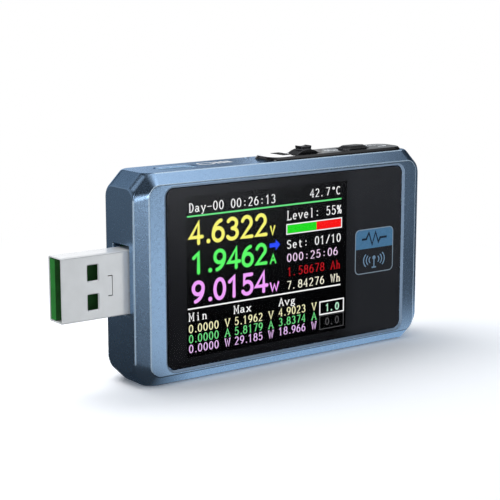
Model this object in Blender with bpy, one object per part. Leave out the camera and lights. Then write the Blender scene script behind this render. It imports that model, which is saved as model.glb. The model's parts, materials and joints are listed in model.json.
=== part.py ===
"""USB power meter: a slim metal case with a colour display, a USB-A plug at one end and sockets at the other.

Frame: origin at the centre of the case's underside, +X along the case away from the plug, +Y towards the back
cover, +Z up. Sizes are written in millimetres and turned into metres by the helpers.
Run with: blender --background --python part.py
"""

import math

import bmesh
import bpy
from mathutils import Matrix, Vector

MM = 0.001
ROOT2 = math.sqrt(2)

# Case: a prism with flattened corners, chamfered all round its front and back faces.
CASE_HALF_LENGTH = 35.25
CASE_HEIGHT = 40.0
CASE_HALF_DEPTH = 6.6
CHAMFER_START = 4.75
FACE_INSET_X = 2.4
FACE_INSET_Z = 2.05
FACE_CORNER_RADIUS = 2.3
FACET_CUT = 2.75
FACET_FLAT_HALF_DEPTH = 2.4
FACET_TURN_DEPTH = 4.2
FACET_TURN_EASE = 1.0
CHAMFER_CORNER_BLEND = 3.6
EDGE_BLEND = 0.3
CORNER_STEPS = 3
WALL = 1.5
FRONT_WALL_INNER = -5.0
CAVITY_RADIUS = 3.4
PARTING = 4.75
PARTING_GAP = 0.05
COVER_INNER = 5.4

# Window, display and the light behind it.
GLASS_X = (-29.0, 29.2)
GLASS_Z = (2.95, 37.05)
GLASS_Y = (-6.5, -5.8)
GLASS_RADIUS = 1.6
RECESS_GAP = 0.1
RECESS_SLOPE = 0.4
RECESS_SLOPE_DEPTH = 0.3
RECESS_FLOOR = -5.55
TAPE_Y = (-5.75, -5.6)
LCD_X = (-27.0, 17.4)
LCD_Z = (3.7, 36.0)
PANEL_Y = (-5.45, -4.5)
BACKLIGHT_Y = (-4.45, -3.35)
LCD_GAP = 0.2

# Main board, standing on four screw posts' notches behind the display.
BOARD_Y = (1.75, 2.75)
BOARD_HALF_LENGTH = 33.3
BOARD_Z = (2.0, 38.0)
BOARD_NOTCH_X = 27.9
BOARD_NOTCH = 5.8
FRONT_SOLDER = 1.68
REAR_SOLDER = 2.85

# Screws through the back cover.
POST_X = 30.3
POST_Z = (5.2, 34.8)
POST_RADIUS = 2.0
POST_TOP = 3.7
PILOT_RADIUS = 1.0
PAD_RADIUS = 2.4
SCREW_HEAD_RADIUS = 1.8
SCREW_HEAD_Y = (5.75, 6.45)
SCREW_SHANK_RADIUS = 0.8
SCREW_TIP = -0.6

# USB-A plug, 12.0 by 4.5 mm, standing 14 mm out of the left end.
PLUG_Y = (-2.9, 1.6)
PLUG_Z = 20.0
PLUG_HALF_WIDTH = 6.0
PLUG_TIP = -49.25
PLUG_ROOT = -30.6
SHEET = 0.3
PLUG_OPENING_Y = (-3.25, 2.4)
PLUG_OPENING_Z = (13.6, 26.75)
LATCH_HOLE_X = (-43.75, -41.8)
LATCH_HOLE_CENTRE = 2.7
LATCH_HOLE_HALF = 1.4
CONTACT_OFFSETS = (-3.5, -1.0, 1.0, 3.5)
CONTACT_HALF_WIDTH = 0.5
CONTACT_WAY = 0.6
OUTER_CONTACT_SETBACK = 1.5
INNER_CONTACT_SETBACK = 2.5

# USB-A socket and USB-C socket in the right end, USB-C socket in the top.
SOCKET_X = (21.0, 35.15)
SOCKET_Y = (-4.15, 1.6)
SOCKET_Z = 24.2
SOCKET_HALF_WIDTH = 6.6
SOCKET_SHEET = 0.35
TYPE_C_HALF_WIDTH = 4.47
TYPE_C_HALF_HEIGHT = 1.625
TYPE_C_DEPTH = 7.35
TYPE_C_Y = -0.025
RIGHT_C_Z = 12.0
TOP_C_X = -22.65
PORT_GAP = 0.15

# Control plate, lever and button on the top face.
PLATE_X = (-2.9, 31.8)
PLATE_Y = (-4.4, 3.1)
PLATE_Z = (39.65, 40.65)
PLATE_RADIUS = 2.7
PLATE_BEVEL = 0.4
CONTROL_Y = -0.65
LEVER_X = 7.6
LEVER_AXIS_Z = 36.6
ROCKER_RADIUS = 4.9
ROCKER_HALF_WIDTH = 1.6
ROCKER_FLAT = -1.2
ROCKER_CLEARANCE = 0.2
KNOB_HALF_LENGTH = 1.3
KNOB_HALF_WIDTH = 1.05
KNOB_NECK = 1.05
KNOB_FOOT = 4.3
KNOB_LIP = 0.3
KNOB_TOP = 5.55
KNOB_DISH = 0.2
PIN_RADIUS = 0.6
PIN_CLEARANCE = 0.07
FRONT_EAR_Y = (-3.05, -2.4)
REAR_EAR_START = 1.1
EAR_HALF_LENGTH = 1.3
CARRIAGE_HALF_LENGTH = 2.2
CARRIAGE_Z = (33.9, 34.6)
CARRIAGE_STEM_RADIUS = 0.7
CARRIAGE_STEM_END = 30.3
LEVER_SWITCH_HALF_LENGTH = 3.8
LEVER_SWITCH_Z = (27.5, 33.2)
BUTTON_X = 20.6
BUTTON_HALF_LENGTH = 3.4
BUTTON_HALF_WIDTH = 1.85
BUTTON_CORNER = 1.05
BUTTON_TOP = 41.3
BUTTON_SHOULDER = 40.85
BUTTON_BEVEL = 0.7
BUTTON_FLANGE_Z = (37.4, 38.2)
BUTTON_STEM_RADIUS = 1.3
TACT_PLUNGER_Z = (32.8, 35.35)
TACT_PLUNGER_RADIUS = 1.2
TACT_SWITCH_HALF_LENGTH = 2.3
TACT_SWITCH_Z = (31.0, 34.0)
BUTTON_GAP = 0.15
PINHOLE = (-3.4, 3.5)


def clear_scene():
    for obj in list(bpy.data.objects):
        bpy.data.objects.remove(obj, do_unlink=True)


def new_collection(name):
    collection = bpy.data.collections.new(name)
    bpy.context.scene.collection.children.link(collection)
    return collection


def make_material(name, colour, roughness, metallic=0.0, alpha=1.0):
    material = bpy.data.materials.new(name)
    material.use_nodes = True
    shader = material.node_tree.nodes["Principled BSDF"]
    shader.inputs["Base Color"].default_value = (*colour, 1.0)
    shader.inputs["Roughness"].default_value = roughness
    shader.inputs["Metallic"].default_value = metallic
    shader.inputs["Alpha"].default_value = alpha
    material.diffuse_color = (*colour, 1.0)
    return material


def add_object(name, mesh, material, centre=(0, 0, 0)):
    """A named object in the parts collection, its origin at centre (mm)."""
    mesh.shade_smooth()
    mesh.set_sharp_from_angle(angle=math.radians(32))
    if material is not None:
        mesh.materials.append(material)
    obj = bpy.data.objects.new(name, mesh)
    obj.location = Vector(centre) * MM
    parts.objects.link(obj)
    return obj


def mesh_from(name, bm):
    bmesh.ops.recalc_face_normals(bm, faces=bm.faces)
    mesh = bpy.data.meshes.new(name)
    bm.to_mesh(mesh)
    bm.free()
    return mesh


def box(name, x, y, z, material=None, round_axis=None, radius=0.0, steps=3):
    """A block between the low and high values of x, y and z; the edges along round_axis are rounded."""
    low = Vector((x[0], y[0], z[0])) * MM
    high = Vector((x[1], y[1], z[1])) * MM
    bm = bmesh.new()
    bmesh.ops.create_cube(bm, size=1.0)
    bmesh.ops.scale(bm, vec=high - low, verts=bm.verts)
    if round_axis is not None:
        along = "XYZ".index(round_axis)
        edges = [e for e in bm.edges if abs((e.verts[0].co - e.verts[1].co).normalized()[along]) > 0.99]
        bmesh.ops.bevel(bm, geom=edges, offset=radius * MM, segments=steps, profile=0.5, affect="EDGES")
    return add_object(name, mesh_from(name, bm), material, (low + high) / 2 / MM)


def cylinder(name, axis, centre, radius, ends, material=None, segments=24, end_radius=None):
    """A cylinder or cone along axis between its two ends; centre is the point that the axis passes through."""
    top = radius if end_radius is None else end_radius
    bm = bmesh.new()
    bmesh.ops.create_cone(
        bm, cap_ends=True, segments=segments, radius1=radius * MM, radius2=top * MM, depth=(ends[1] - ends[0]) * MM
    )
    turn = {
        "X": Matrix.Rotation(math.pi / 2, 4, "Y"),
        "Y": Matrix.Rotation(-math.pi / 2, 4, "X"),
        "Z": Matrix.Identity(4),
    }[axis]
    bmesh.ops.transform(bm, matrix=turn, verts=bm.verts)
    middle = list(centre)
    middle["XYZ".index(axis)] = (ends[0] + ends[1]) / 2
    return add_object(name, mesh_from(name, bm), material, middle)


def fillet(points, radius, steps):
    """The closed outline through points with each corner turned into an arc of steps pieces."""
    outline = []
    for i, corner in enumerate(points):
        here = Vector(corner)
        back = (Vector(points[i - 1]) - here).normalized()
        ahead = (Vector(points[(i + 1) % len(points)]) - here).normalized()
        half = back.angle(ahead) / 2
        bisector = (back + ahead).normalized()
        centre = here + bisector * (radius / math.sin(half))
        start = here + back * (radius / math.tan(half)) - centre
        end = here + ahead * (radius / math.tan(half)) - centre
        sweep = start.angle_signed(end)
        for k in range(steps + 1):
            turn = Matrix.Rotation(-sweep * k / steps, 2)
            outline.append(tuple(centre + turn @ start))
    return outline


def rectangle(u, v, radius=0.0, steps=4):
    """A rectangle between the low and high values of u and v, with rounded corners."""
    corners = [(u[0], v[0]), (u[1], v[0]), (u[1], v[1]), (u[0], v[1])]
    return fillet(corners, radius, steps) if radius else corners


def grown(span, by):
    return (span[0] - by, span[1] + by)


def around(centre, half):
    return (centre - half, centre + half)


def raise_outline(outline, axis, level):
    """The points of a flat outline placed at level along axis."""
    place = {
        "X": lambda p: (level, p[0], p[1]),
        "Y": lambda p: (p[0], level, p[1]),
        "Z": lambda p: (p[0], p[1], level),
    }[axis]
    return [place(p) for p in outline]


def loft(name, rings, material=None):
    """A closed body through rings of equal point count, each a list of points (mm)."""
    bm = bmesh.new()
    loops = []
    for ring in rings:
        verts = [bm.verts.new(Vector(p) * MM) for p in ring]
        loops.append([bm.edges.new((verts[i - 1], verts[i])) for i in range(len(verts))])
        if ring is rings[0] or ring is rings[-1]:
            bm.faces.new(verts)
    for first, second in zip(loops, loops[1:]):
        bmesh.ops.bridge_loops(bm, edges=first + second)
    return add_object(name, mesh_from(name, bm), material)


def slab(name, outline, axis, ends, material=None):
    """A flat outline filled and given thickness along axis, from a 2D curve."""
    curve = bpy.data.curves.new(name, "CURVE")
    curve.dimensions = "2D"
    curve.fill_mode = "BOTH"
    curve.extrude = (ends[1] - ends[0]) / 2 * MM
    spline = curve.splines.new("POLY")
    spline.points.add(len(outline) - 1)
    for point, (u, v) in zip(spline.points, outline):
        point.co = (u * MM, v * MM, 0, 1)
    spline.use_cyclic_u = True
    guide = bpy.data.objects.new(name + "_curve", curve)
    parts.objects.link(guide)
    bpy.context.view_layer.update()
    flat = bpy.data.meshes.new_from_object(guide.evaluated_get(bpy.context.evaluated_depsgraph_get()))
    bpy.data.objects.remove(guide)
    bpy.data.curves.remove(curve)
    bm = bmesh.new()
    bm.from_mesh(flat)
    bpy.data.meshes.remove(flat)
    bmesh.ops.remove_doubles(bm, verts=bm.verts, dist=1e-6)
    turn = {
        "X": Matrix(((0, 0, 1, 0), (1, 0, 0, 0), (0, 1, 0, 0), (0, 0, 0, 1))),
        "Y": Matrix.Rotation(math.pi / 2, 4, "X"),
        "Z": Matrix.Identity(4),
    }[axis]
    bmesh.ops.transform(bm, matrix=turn, verts=bm.verts)
    middle = [0, 0, 0]
    middle["XYZ".index(axis)] = (ends[0] + ends[1]) / 2
    return add_object(name, mesh_from(name, bm), material, middle)


def make_tool(obj):
    """obj only shapes its neighbour, so it moves to the cutters collection and is drawn as wire."""
    parts.objects.unlink(obj)
    cutters.objects.link(obj)
    obj.hide_render = True
    obj.display_type = "WIRE"


def shape(target, operation, tools):
    for tool in tools:
        make_tool(tool)
        modifier = target.modifiers.new(tool.name, "BOOLEAN")
        modifier.operation = operation
        modifier.object = tool
    return target


def cut(target, *tools):
    return shape(target, "DIFFERENCE", tools)


def join(target, *tools):
    return shape(target, "UNION", tools)


def hang(obj, empty):
    """obj moves with empty and stays where it is."""
    obj.parent = empty
    obj.location = obj.location - empty.location


def joint_empty(name, place):
    empty = bpy.data.objects.new(name, None)
    empty.location = Vector(place) * MM
    empty.empty_display_size = 2 * MM
    parts.objects.link(empty)
    return empty


def eased(past, ease):
    """past where it is positive and 0 where it is negative, with the kink rounded over ease to each side."""
    if past < -ease:
        return 0.0
    if past < ease:
        return (past + ease) ** 2 / (4 * ease)
    return past


def corner_blend(depth, chamfer_share):
    """The radius where a flattened corner meets the sides: small at mid depth, large on the chamfer."""
    if chamfer_share > 0:
        return CHAMFER_CORNER_BLEND + (0.97 * FACE_CORNER_RADIUS - CHAMFER_CORNER_BLEND) * chamfer_share
    past = max(0.0, depth - FACET_FLAT_HALF_DEPTH) / (CHAMFER_START - FACET_FLAT_HALF_DEPTH)
    return EDGE_BLEND + (CHAMFER_CORNER_BLEND - EDGE_BLEND) * (1 - math.sqrt(1 - past**2))


def case_outline(y):
    """The case's outline in X and Z at depth y. Its corners go from flats at mid depth to arcs on the faces."""
    depth = max(0.0, abs(y) - CHAMFER_START) / (CASE_HALF_DEPTH - CHAMFER_START)
    half_x = CASE_HALF_LENGTH - depth * FACE_INSET_X
    half_z = CASE_HEIGHT / 2 - depth * FACE_INSET_Z
    arc_x = CASE_HALF_LENGTH - FACE_INSET_X - FACE_CORNER_RADIUS
    arc_z = CASE_HEIGHT / 2 - FACE_INSET_Z - FACE_CORNER_RADIUS
    flat_reach = (CASE_HALF_LENGTH - arc_x + CASE_HEIGHT / 2 - arc_z - FACET_CUT) / ROOT2
    slope = (flat_reach - FACE_CORNER_RADIUS) / (CASE_HALF_DEPTH - FACET_TURN_DEPTH)
    reach = flat_reach - slope * eased(abs(y) - FACET_TURN_DEPTH, FACET_TURN_EASE)
    corner = half_x - arc_x + half_z - arc_z - ROOT2 * reach
    blend = corner_blend(abs(y), depth)
    middle = CASE_HEIGHT / 2
    octagon = [
        (-half_x + corner, middle - half_z),
        (half_x - corner, middle - half_z),
        (half_x, middle - half_z + corner),
        (half_x, middle + half_z - corner),
        (half_x - corner, middle + half_z),
        (-half_x + corner, middle + half_z),
        (-half_x, middle + half_z - corner),
        (-half_x, middle - half_z + corner),
    ]
    return fillet(octagon, blend, CORNER_STEPS)


def turns(count):
    """Angles from 0 to a quarter turn."""
    return steps_between(0.0, math.pi / 2, count)


def case_body(name, depths, material):
    return loft(name, [raise_outline(case_outline(y), "Y", y) for y in depths], material)


def steps_between(start, end, count):
    return [start + (end - start) * k / count for k in range(count + 1)]


def rounded_block(name, x, y, z, round_axis, radius, material=None):
    return box(name, x, y, z, material, round_axis, radius, 4)


def type_c_outline(centre, grow=0.0):
    """The rounded slot of a USB-C mouth, long side first."""
    long_side = around(centre[0], TYPE_C_HALF_WIDTH + grow)
    short_side = around(centre[1], TYPE_C_HALF_HEIGHT + grow)
    return rectangle(long_side, short_side, TYPE_C_HALF_HEIGHT + grow - 0.05, 5)


def swapped(outline):
    return [(v, u) for u, v in reversed(outline)]


def button_outline(grow=0.0):
    """The button's outline in X and Y: a rectangle with its corners cut off."""
    half_x, half_y = BUTTON_HALF_LENGTH + grow, BUTTON_HALF_WIDTH + grow
    cut_off = BUTTON_CORNER
    corners = [
        (-half_x + cut_off, -half_y), (half_x - cut_off, -half_y), (half_x, -half_y + cut_off),
        (half_x, half_y - cut_off), (half_x - cut_off, half_y), (-half_x + cut_off, half_y),
        (-half_x, half_y - cut_off), (-half_x, -half_y + cut_off),
    ]
    return [(BUTTON_X + u, CONTROL_Y + v) for u, v in fillet(corners, 0.3, 2)]


def rocker_clearance(name):
    """The space that the lever's round body turns in, as a cylinder across the case."""
    span = around(CONTROL_Y, ROCKER_HALF_WIDTH + ROCKER_CLEARANCE)
    return cylinder(name, "Y", (LEVER_X, 0, LEVER_AXIS_Z), ROCKER_RADIUS + ROCKER_CLEARANCE, span, segments=64)


def window_recess():
    """Cutter for the step that the glass lies in, with a sloped edge round its mouth."""
    gap = RECESS_GAP
    slope = RECESS_SLOPE / RECESS_SLOPE_DEPTH
    mouth = -CASE_HALF_DEPTH
    rings = []
    for level in (mouth - 0.2, mouth + RECESS_SLOPE_DEPTH, RECESS_FLOOR):
        grow = gap + max(0.0, (mouth + RECESS_SLOPE_DEPTH - level) * slope)
        outline = rectangle(grown(GLASS_X, grow), grown(GLASS_Z, grow), GLASS_RADIUS + grow)
        rings.append(raise_outline(outline, "Y", level))
    return loft("cut_window_recess", rings)


def front_case(material):
    flat_end = [FACET_FLAT_HALF_DEPTH + (CHAMFER_START - FACET_FLAT_HALF_DEPTH) * math.sin(t) for t in turns(5)]
    depths = steps_between(-CASE_HALF_DEPTH, -CHAMFER_START, 4)[:-1]
    depths += [-depth for depth in reversed(flat_end)]
    depths += [min(depth, PARTING) for depth in flat_end]
    case = case_body("front_case", depths, material)
    inside_x = grown((-CASE_HALF_LENGTH, CASE_HALF_LENGTH), -WALL)
    inside_z = grown((0, CASE_HEIGHT), -WALL)
    cavity = rounded_block("cut_cavity", inside_x, (FRONT_WALL_INNER, 6), inside_z, "Y", CAVITY_RADIUS)
    display = box("cut_display", grown(LCD_X, LCD_GAP), (RECESS_FLOOR - 0.3, -4), grown(LCD_Z, LCD_GAP))
    cut(case, cavity, window_recess(), display)
    for side, x in (("left", -POST_X), ("right", POST_X)):
        for level, z in (("low", POST_Z[0]), ("high", POST_Z[1])):
            place = (x, 0, z)
            post = cylinder(f"post_{side}_{level}", "Y", place, POST_RADIUS, (FRONT_WALL_INNER - 0.3, POST_TOP))
            pilot = cylinder(f"cut_pilot_{side}_{level}", "Y", place, PILOT_RADIUS, (SCREW_TIP - 0.8, 5))
            join(case, post)
            cut(case, pilot)
    cut_ends_and_top(case)
    return case


def cut_ends_and_top(case):
    """The openings for the plug, the sockets, the reset pin and the controls."""
    left = (-CASE_HALF_LENGTH - 1, -CASE_HALF_LENGTH + WALL + 1)
    right = (CASE_HALF_LENGTH - WALL - 1, CASE_HALF_LENGTH + 1)
    top = (CASE_HEIGHT - WALL - 1, CASE_HEIGHT + 1)
    plug = box("cut_plug", left, PLUG_OPENING_Y, PLUG_OPENING_Z, None, "X", 0.4)
    socket_z = around(SOCKET_Z, SOCKET_HALF_WIDTH + PORT_GAP)
    socket = box("cut_socket", right, grown(SOCKET_Y, PORT_GAP), socket_z, None, "X", 0.4)
    right_c = slab("cut_right_c", swapped(type_c_outline((RIGHT_C_Z, TYPE_C_Y), PORT_GAP)), "X", right)
    top_c = slab("cut_top_c", type_c_outline((TOP_C_X, TYPE_C_Y), PORT_GAP), "Z", top)
    pinhole = cylinder("cut_pinhole", "Z", (*PINHOLE, 0), 0.6, top, segments=16)
    seat_z = (PLATE_Z[0] - 0.05, CASE_HEIGHT + 1)
    seat = rounded_block("cut_seat", grown(PLATE_X, 0.12), grown(PLATE_Y, 0.12), seat_z, "Z", PLATE_RADIUS + 0.12)
    button = slab("cut_button_case", button_outline(BUTTON_GAP), "Z", top)
    cut(case, plug, socket, right_c, top_c, pinhole, seat, rocker_clearance("cut_rocker_case"), button)


def back_cover(material):
    cover = case_body("back_cover", steps_between(PARTING + PARTING_GAP, CASE_HALF_DEPTH, 4), material)
    lip_x = grown((-CASE_HALF_LENGTH, CASE_HALF_LENGTH), -WALL - 0.3)
    lip_z = grown((0, CASE_HEIGHT), -WALL - 0.3)
    lip = rounded_block("cover_lip", lip_x, (POST_TOP + 0.2, PARTING + 0.3), lip_z, "Y", CAVITY_RADIUS - 0.3)
    hollow_x, hollow_z = grown(lip_x, -1.0), grown(lip_z, -1.0)
    hollow = rounded_block("cut_cover", hollow_x, (3, COVER_INNER), hollow_z, "Y", CAVITY_RADIUS - 1.3)
    join(cover, lip)
    cut(cover, hollow)
    for side, x in (("left", -POST_X), ("right", POST_X)):
        for level, z in (("low", POST_Z[0]), ("high", POST_Z[1])):
            place = (x, 0, z)
            tag = f"{side}_{level}"
            pad = cylinder("pad_" + tag, "Y", place, PAD_RADIUS, (POST_TOP + 0.2, COVER_INNER + 0.2))
            head = cylinder("cut_head_" + tag, "Y", place, SCREW_HEAD_RADIUS + 0.2, (SCREW_HEAD_Y[0] - 0.05, 7))
            hole = cylinder("cut_screw_" + tag, "Y", place, PILOT_RADIUS + 0.1, (3, 6))
            join(cover, pad)
            cut(cover, head, hole)
    return cover


def cover_screws(material):
    """Four small machine screws with cross slots, all from one mesh."""
    head = cylinder("cover_screw_1", "Y", (0, 0, 0), SCREW_HEAD_RADIUS, SCREW_HEAD_Y, material)
    shank_y = (SCREW_TIP, SCREW_HEAD_Y[0] + 0.1)
    shank = cylinder("screw_shank", "Y", (0, 0, 0), SCREW_SHANK_RADIUS, shank_y, segments=16)
    slot_y = (SCREW_HEAD_Y[1] - 0.35, 7)
    slots = [
        box("cut_slot_a", (-1.1, 1.1), slot_y, (-0.17, 0.17)),
        box("cut_slot_b", (-0.17, 0.17), slot_y, (-1.1, 1.1)),
    ]
    join(head, shank)
    cut(head, *slots)
    bpy.context.view_layer.update()
    made = bpy.data.meshes.new_from_object(head.evaluated_get(bpy.context.evaluated_depsgraph_get()))
    height = head.location.y
    bpy.data.objects.remove(head)
    places = [(x, z) for x in (-POST_X, POST_X) for z in POST_Z]
    for number, (x, z) in enumerate(places, 1):
        screw = bpy.data.objects.new(f"cover_screw_{number}", made)
        screw.location = (x * MM, height, z * MM)
        parts.objects.link(screw)


def window_and_display(glass, tape, panel, frame, film, plastic):
    rounded_block("display_window", GLASS_X, GLASS_Y, GLASS_Z, "Y", GLASS_RADIUS, glass)
    seal_x, seal_z = grown(GLASS_X, -0.1), grown(GLASS_Z, -0.1)
    seal = rounded_block("window_tape", seal_x, TAPE_Y, seal_z, "Y", GLASS_RADIUS - 0.1, tape)
    opening_x, opening_z = grown(LCD_X, -0.8), grown(LCD_Z, -0.4)
    cut(seal, box("cut_tape", opening_x, grown(TAPE_Y, 1), opening_z))
    box("lcd_panel", LCD_X, PANEL_Y, LCD_Z, panel, "Y", 0.3)
    box("lcd_backlight", LCD_X, BACKLIGHT_Y, LCD_Z, frame, "Y", 0.3)
    thickness, bend = 0.15, 1.0
    out, turn_x, down = LCD_X[1] + 0.15, LCD_X[1] + 2.2, 0.45
    top = PANEL_Y[1] - 0.4
    strip = [
        (out, top), (turn_x - bend, top), (turn_x, top + bend), (turn_x, down),
        (turn_x - thickness, down), (turn_x - thickness, top + bend + 0.06),
        (turn_x - bend - 0.06, top + thickness), (out, top + thickness),
    ]
    slab("lcd_ribbon", strip, "Z", (6, 16), film)
    box("lcd_connector", (turn_x - 1.1, turn_x + 0.9), (down + 0.1, FRONT_SOLDER), (5.5, 16.5), plastic)


def main_board(material):
    half, notch = BOARD_HALF_LENGTH, BOARD_NOTCH_X
    low, high = BOARD_Z
    outline = [
        (-notch, low), (notch, low), (notch, low + BOARD_NOTCH), (half, low + BOARD_NOTCH),
        (half, high - BOARD_NOTCH), (notch, high - BOARD_NOTCH), (notch, high), (-notch, high),
        (-notch, high - BOARD_NOTCH), (-half, high - BOARD_NOTCH), (-half, low + BOARD_NOTCH),
        (-notch, low + BOARD_NOTCH),
    ]
    slab("main_board", outline, "Y", BOARD_Y, material)


def board_parts(black, steel, ceramic, shield):
    """The chips and other parts soldered to the board, front side first."""
    front, rear = FRONT_SOLDER, REAR_SOLDER
    box("microcontroller", (-12, -5), (front - 0.9, front), (16, 23), black)
    box("metering_chip", (2, 6), (front - 0.9, front), (15, 19), black)
    box("crystal", (-17.2, -14), (front - 0.7, front), (18, 20.5), steel)
    box("shunt_resistor", (4, 10.4), (rear, rear + 0.6), (18, 21.2), ceramic)
    box("power_transistor", (19, 24), (rear, rear + 1.0), (12, 17), black)
    rounded_block("inductor", (13.5, 18.5), (rear, rear + 2.1), (25, 30), "Y", 0.8, black)
    box("wireless_module", (-22, -10), (rear, rear + 1.9), (12, 27), shield)


def contact_strip(name, x, y, z, lead_x, material):
    """A spring contact: a strip along the tongue that ends in a lead down to the board."""
    thickness = 0.15
    step = math.copysign(thickness, lead_x - x)
    outline = [
        (x, y), (lead_x, y), (lead_x, FRONT_SOLDER), (lead_x - step, FRONT_SOLDER),
        (lead_x - step, y + thickness), (x, y + thickness),
    ]
    slab(name, outline, "Z", around(z, CONTACT_HALF_WIDTH), material)


def usb_plug(steel, green, gold):
    z = around(PLUG_Z, PLUG_HALF_WIDTH)
    shell = box("plug_shell", (PLUG_TIP, PLUG_ROOT), PLUG_Y, z, steel, "X", 0.45)
    inner_y, inner_z = grown(PLUG_Y, -SHEET), grown(z, -SHEET)
    cut(shell, box("cut_plug_inside", (PLUG_TIP - 1, PLUG_ROOT + 1), inner_y, inner_z, None, "X", 0.2))
    for side, sign in (("upper", 1), ("lower", -1)):
        hole_z = around(PLUG_Z + sign * LATCH_HOLE_CENTRE, LATCH_HOLE_HALF)
        cut(shell, box("cut_latch_" + side, LATCH_HOLE_X, grown(PLUG_Y, 1), hole_z))
    gap = 0.1
    tongue_y = (-0.55, inner_y[1] - gap)
    body_z = grown(inner_z, -gap)
    block_x = (-36.5, PLUG_ROOT - 0.5)
    body = box("plug_insulator", (PLUG_TIP + gap, block_x[1]), tongue_y, body_z, green)
    join(body, box("plug_block", block_x, (inner_y[0] + gap, tongue_y[1] - 0.2), grown(body_z, -0.02)))
    for number, offset in enumerate(CONTACT_OFFSETS, 1):
        centre = PLUG_Z + offset
        slot_y = (tongue_y[0] - 0.3, tongue_y[0] + 0.05)
        cut(body, box(f"cut_way_{number}", (block_x[0] - 0.1, block_x[1] + 1), slot_y, around(centre, CONTACT_WAY)))
        start = PLUG_TIP + (OUTER_CONTACT_SETBACK if abs(offset) > 2 else INNER_CONTACT_SETBACK)
        contact_strip(f"plug_contact_{number}", start, tongue_y[0] - 0.2, centre, PLUG_ROOT + 0.4, gold)


def usb_a_socket(steel, black, gold):
    z = around(SOCKET_Z, SOCKET_HALF_WIDTH)
    shell = box("usb_a_socket_shell", SOCKET_X, SOCKET_Y, z, steel, "X", 0.5)
    inner_y, inner_z = grown(SOCKET_Y, -SOCKET_SHEET), grown(z, -SOCKET_SHEET)
    cut(shell, box("cut_socket_inside", grown(SOCKET_X, 1), inner_y, inner_z, None, "X", 0.2))
    gap = 0.1
    block_x = (SOCKET_X[0] + gap, SOCKET_X[0] + 2.6)
    tongue_y = (inner_y[0] + 0.65, inner_y[0] + 2.45)
    tongue_z = around(SOCKET_Z, 5.55)
    body = box("usb_a_socket_tongue", (block_x[1] - 0.3, SOCKET_X[1] - 1.2), tongue_y, tongue_z, black)
    join(body, box("socket_block", block_x, grown(inner_y, -gap), grown(inner_z, -gap)))
    for number, offset in enumerate(CONTACT_OFFSETS, 1):
        centre = SOCKET_Z + offset
        slot_y = (tongue_y[1] - 0.05, tongue_y[1] + 0.3)
        cut(body, box(f"cut_path_{number}", grown(block_x, 0.5), slot_y, around(centre, CONTACT_WAY)))
        strip = (SOCKET_X[1] - 1.9, tongue_y[1] + 0.05)
        contact_strip(f"socket_contact_{number}", *strip, centre, SOCKET_X[0] - 0.25, gold)


def type_c_socket(name, axis, centre, mouth, steel, black):
    """A USB-C socket whose mouth is at the coordinate mouth along axis, X or Z."""
    ends = (mouth - TYPE_C_DEPTH, mouth)
    flip = swapped if axis == "X" else list
    shell = slab(f"{name}_shell", flip(type_c_outline(centre)), axis, ends, steel)
    inner = slab(f"cut_{name}", flip(type_c_outline(centre, -SHEET)), axis, grown(ends, 1))
    cut(shell, inner)
    block_ends = (ends[0] + 0.1, ends[0] + 1.6)
    block = slab(f"{name}_tongue", flip(type_c_outline(centre, -SHEET - 0.1)), axis, block_ends, black)
    long_side, short_side = around(centre[0], 3.35), around(centre[1], 0.35)
    tongue_ends = (block_ends[1] - 0.3, mouth - 0.9)
    tongue_outline = flip(rectangle(long_side, short_side, 0.15, 2))
    join(block, slab(f"{name}_blade", tongue_outline, axis, tongue_ends))


def control_plate(material):
    rings = []
    bevel_start = PLATE_Z[1] - PLATE_BEVEL
    for level, inset in ((PLATE_Z[0], 0.0), (bevel_start, 0.0), (PLATE_Z[1], PLATE_BEVEL)):
        outline = rectangle(grown(PLATE_X, -inset), grown(PLATE_Y, -inset), PLATE_RADIUS - inset, 6)
        rings.append(raise_outline(outline, "Z", level))
    plate = loft("control_plate", rings, material)
    hole = slab("cut_button_plate", button_outline(BUTTON_GAP), "Z", grown(PLATE_Z, 1))
    cut(plate, rocker_clearance("cut_rocker_plate"), hole)


def about_lever(points):
    return [(LEVER_X + u, LEVER_AXIS_Z + v) for u, v in points]


def rocker_profile():
    """The lever's disc, cut flat below."""
    start = math.asin(ROCKER_FLAT / ROCKER_RADIUS)
    angles = steps_between(start, math.pi - start, 28)
    return about_lever([(ROCKER_RADIUS * math.cos(angle), ROCKER_RADIUS * math.sin(angle)) for angle in angles])


def knob_profile():
    """The thumb pad on the disc: a neck that flares to a lip, with a dished top."""
    lip = KNOB_TOP - KNOB_LIP
    points = [(-KNOB_HALF_LENGTH, lip), (-KNOB_NECK, KNOB_FOOT), (KNOB_NECK, KNOB_FOOT), (KNOB_HALF_LENGTH, lip)]
    for across in steps_between(1.0, -1.0, 8):
        points.append((KNOB_HALF_LENGTH * across, KNOB_TOP - KNOB_DISH * (1 - across**2)))
    return about_lever(points)


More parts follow.
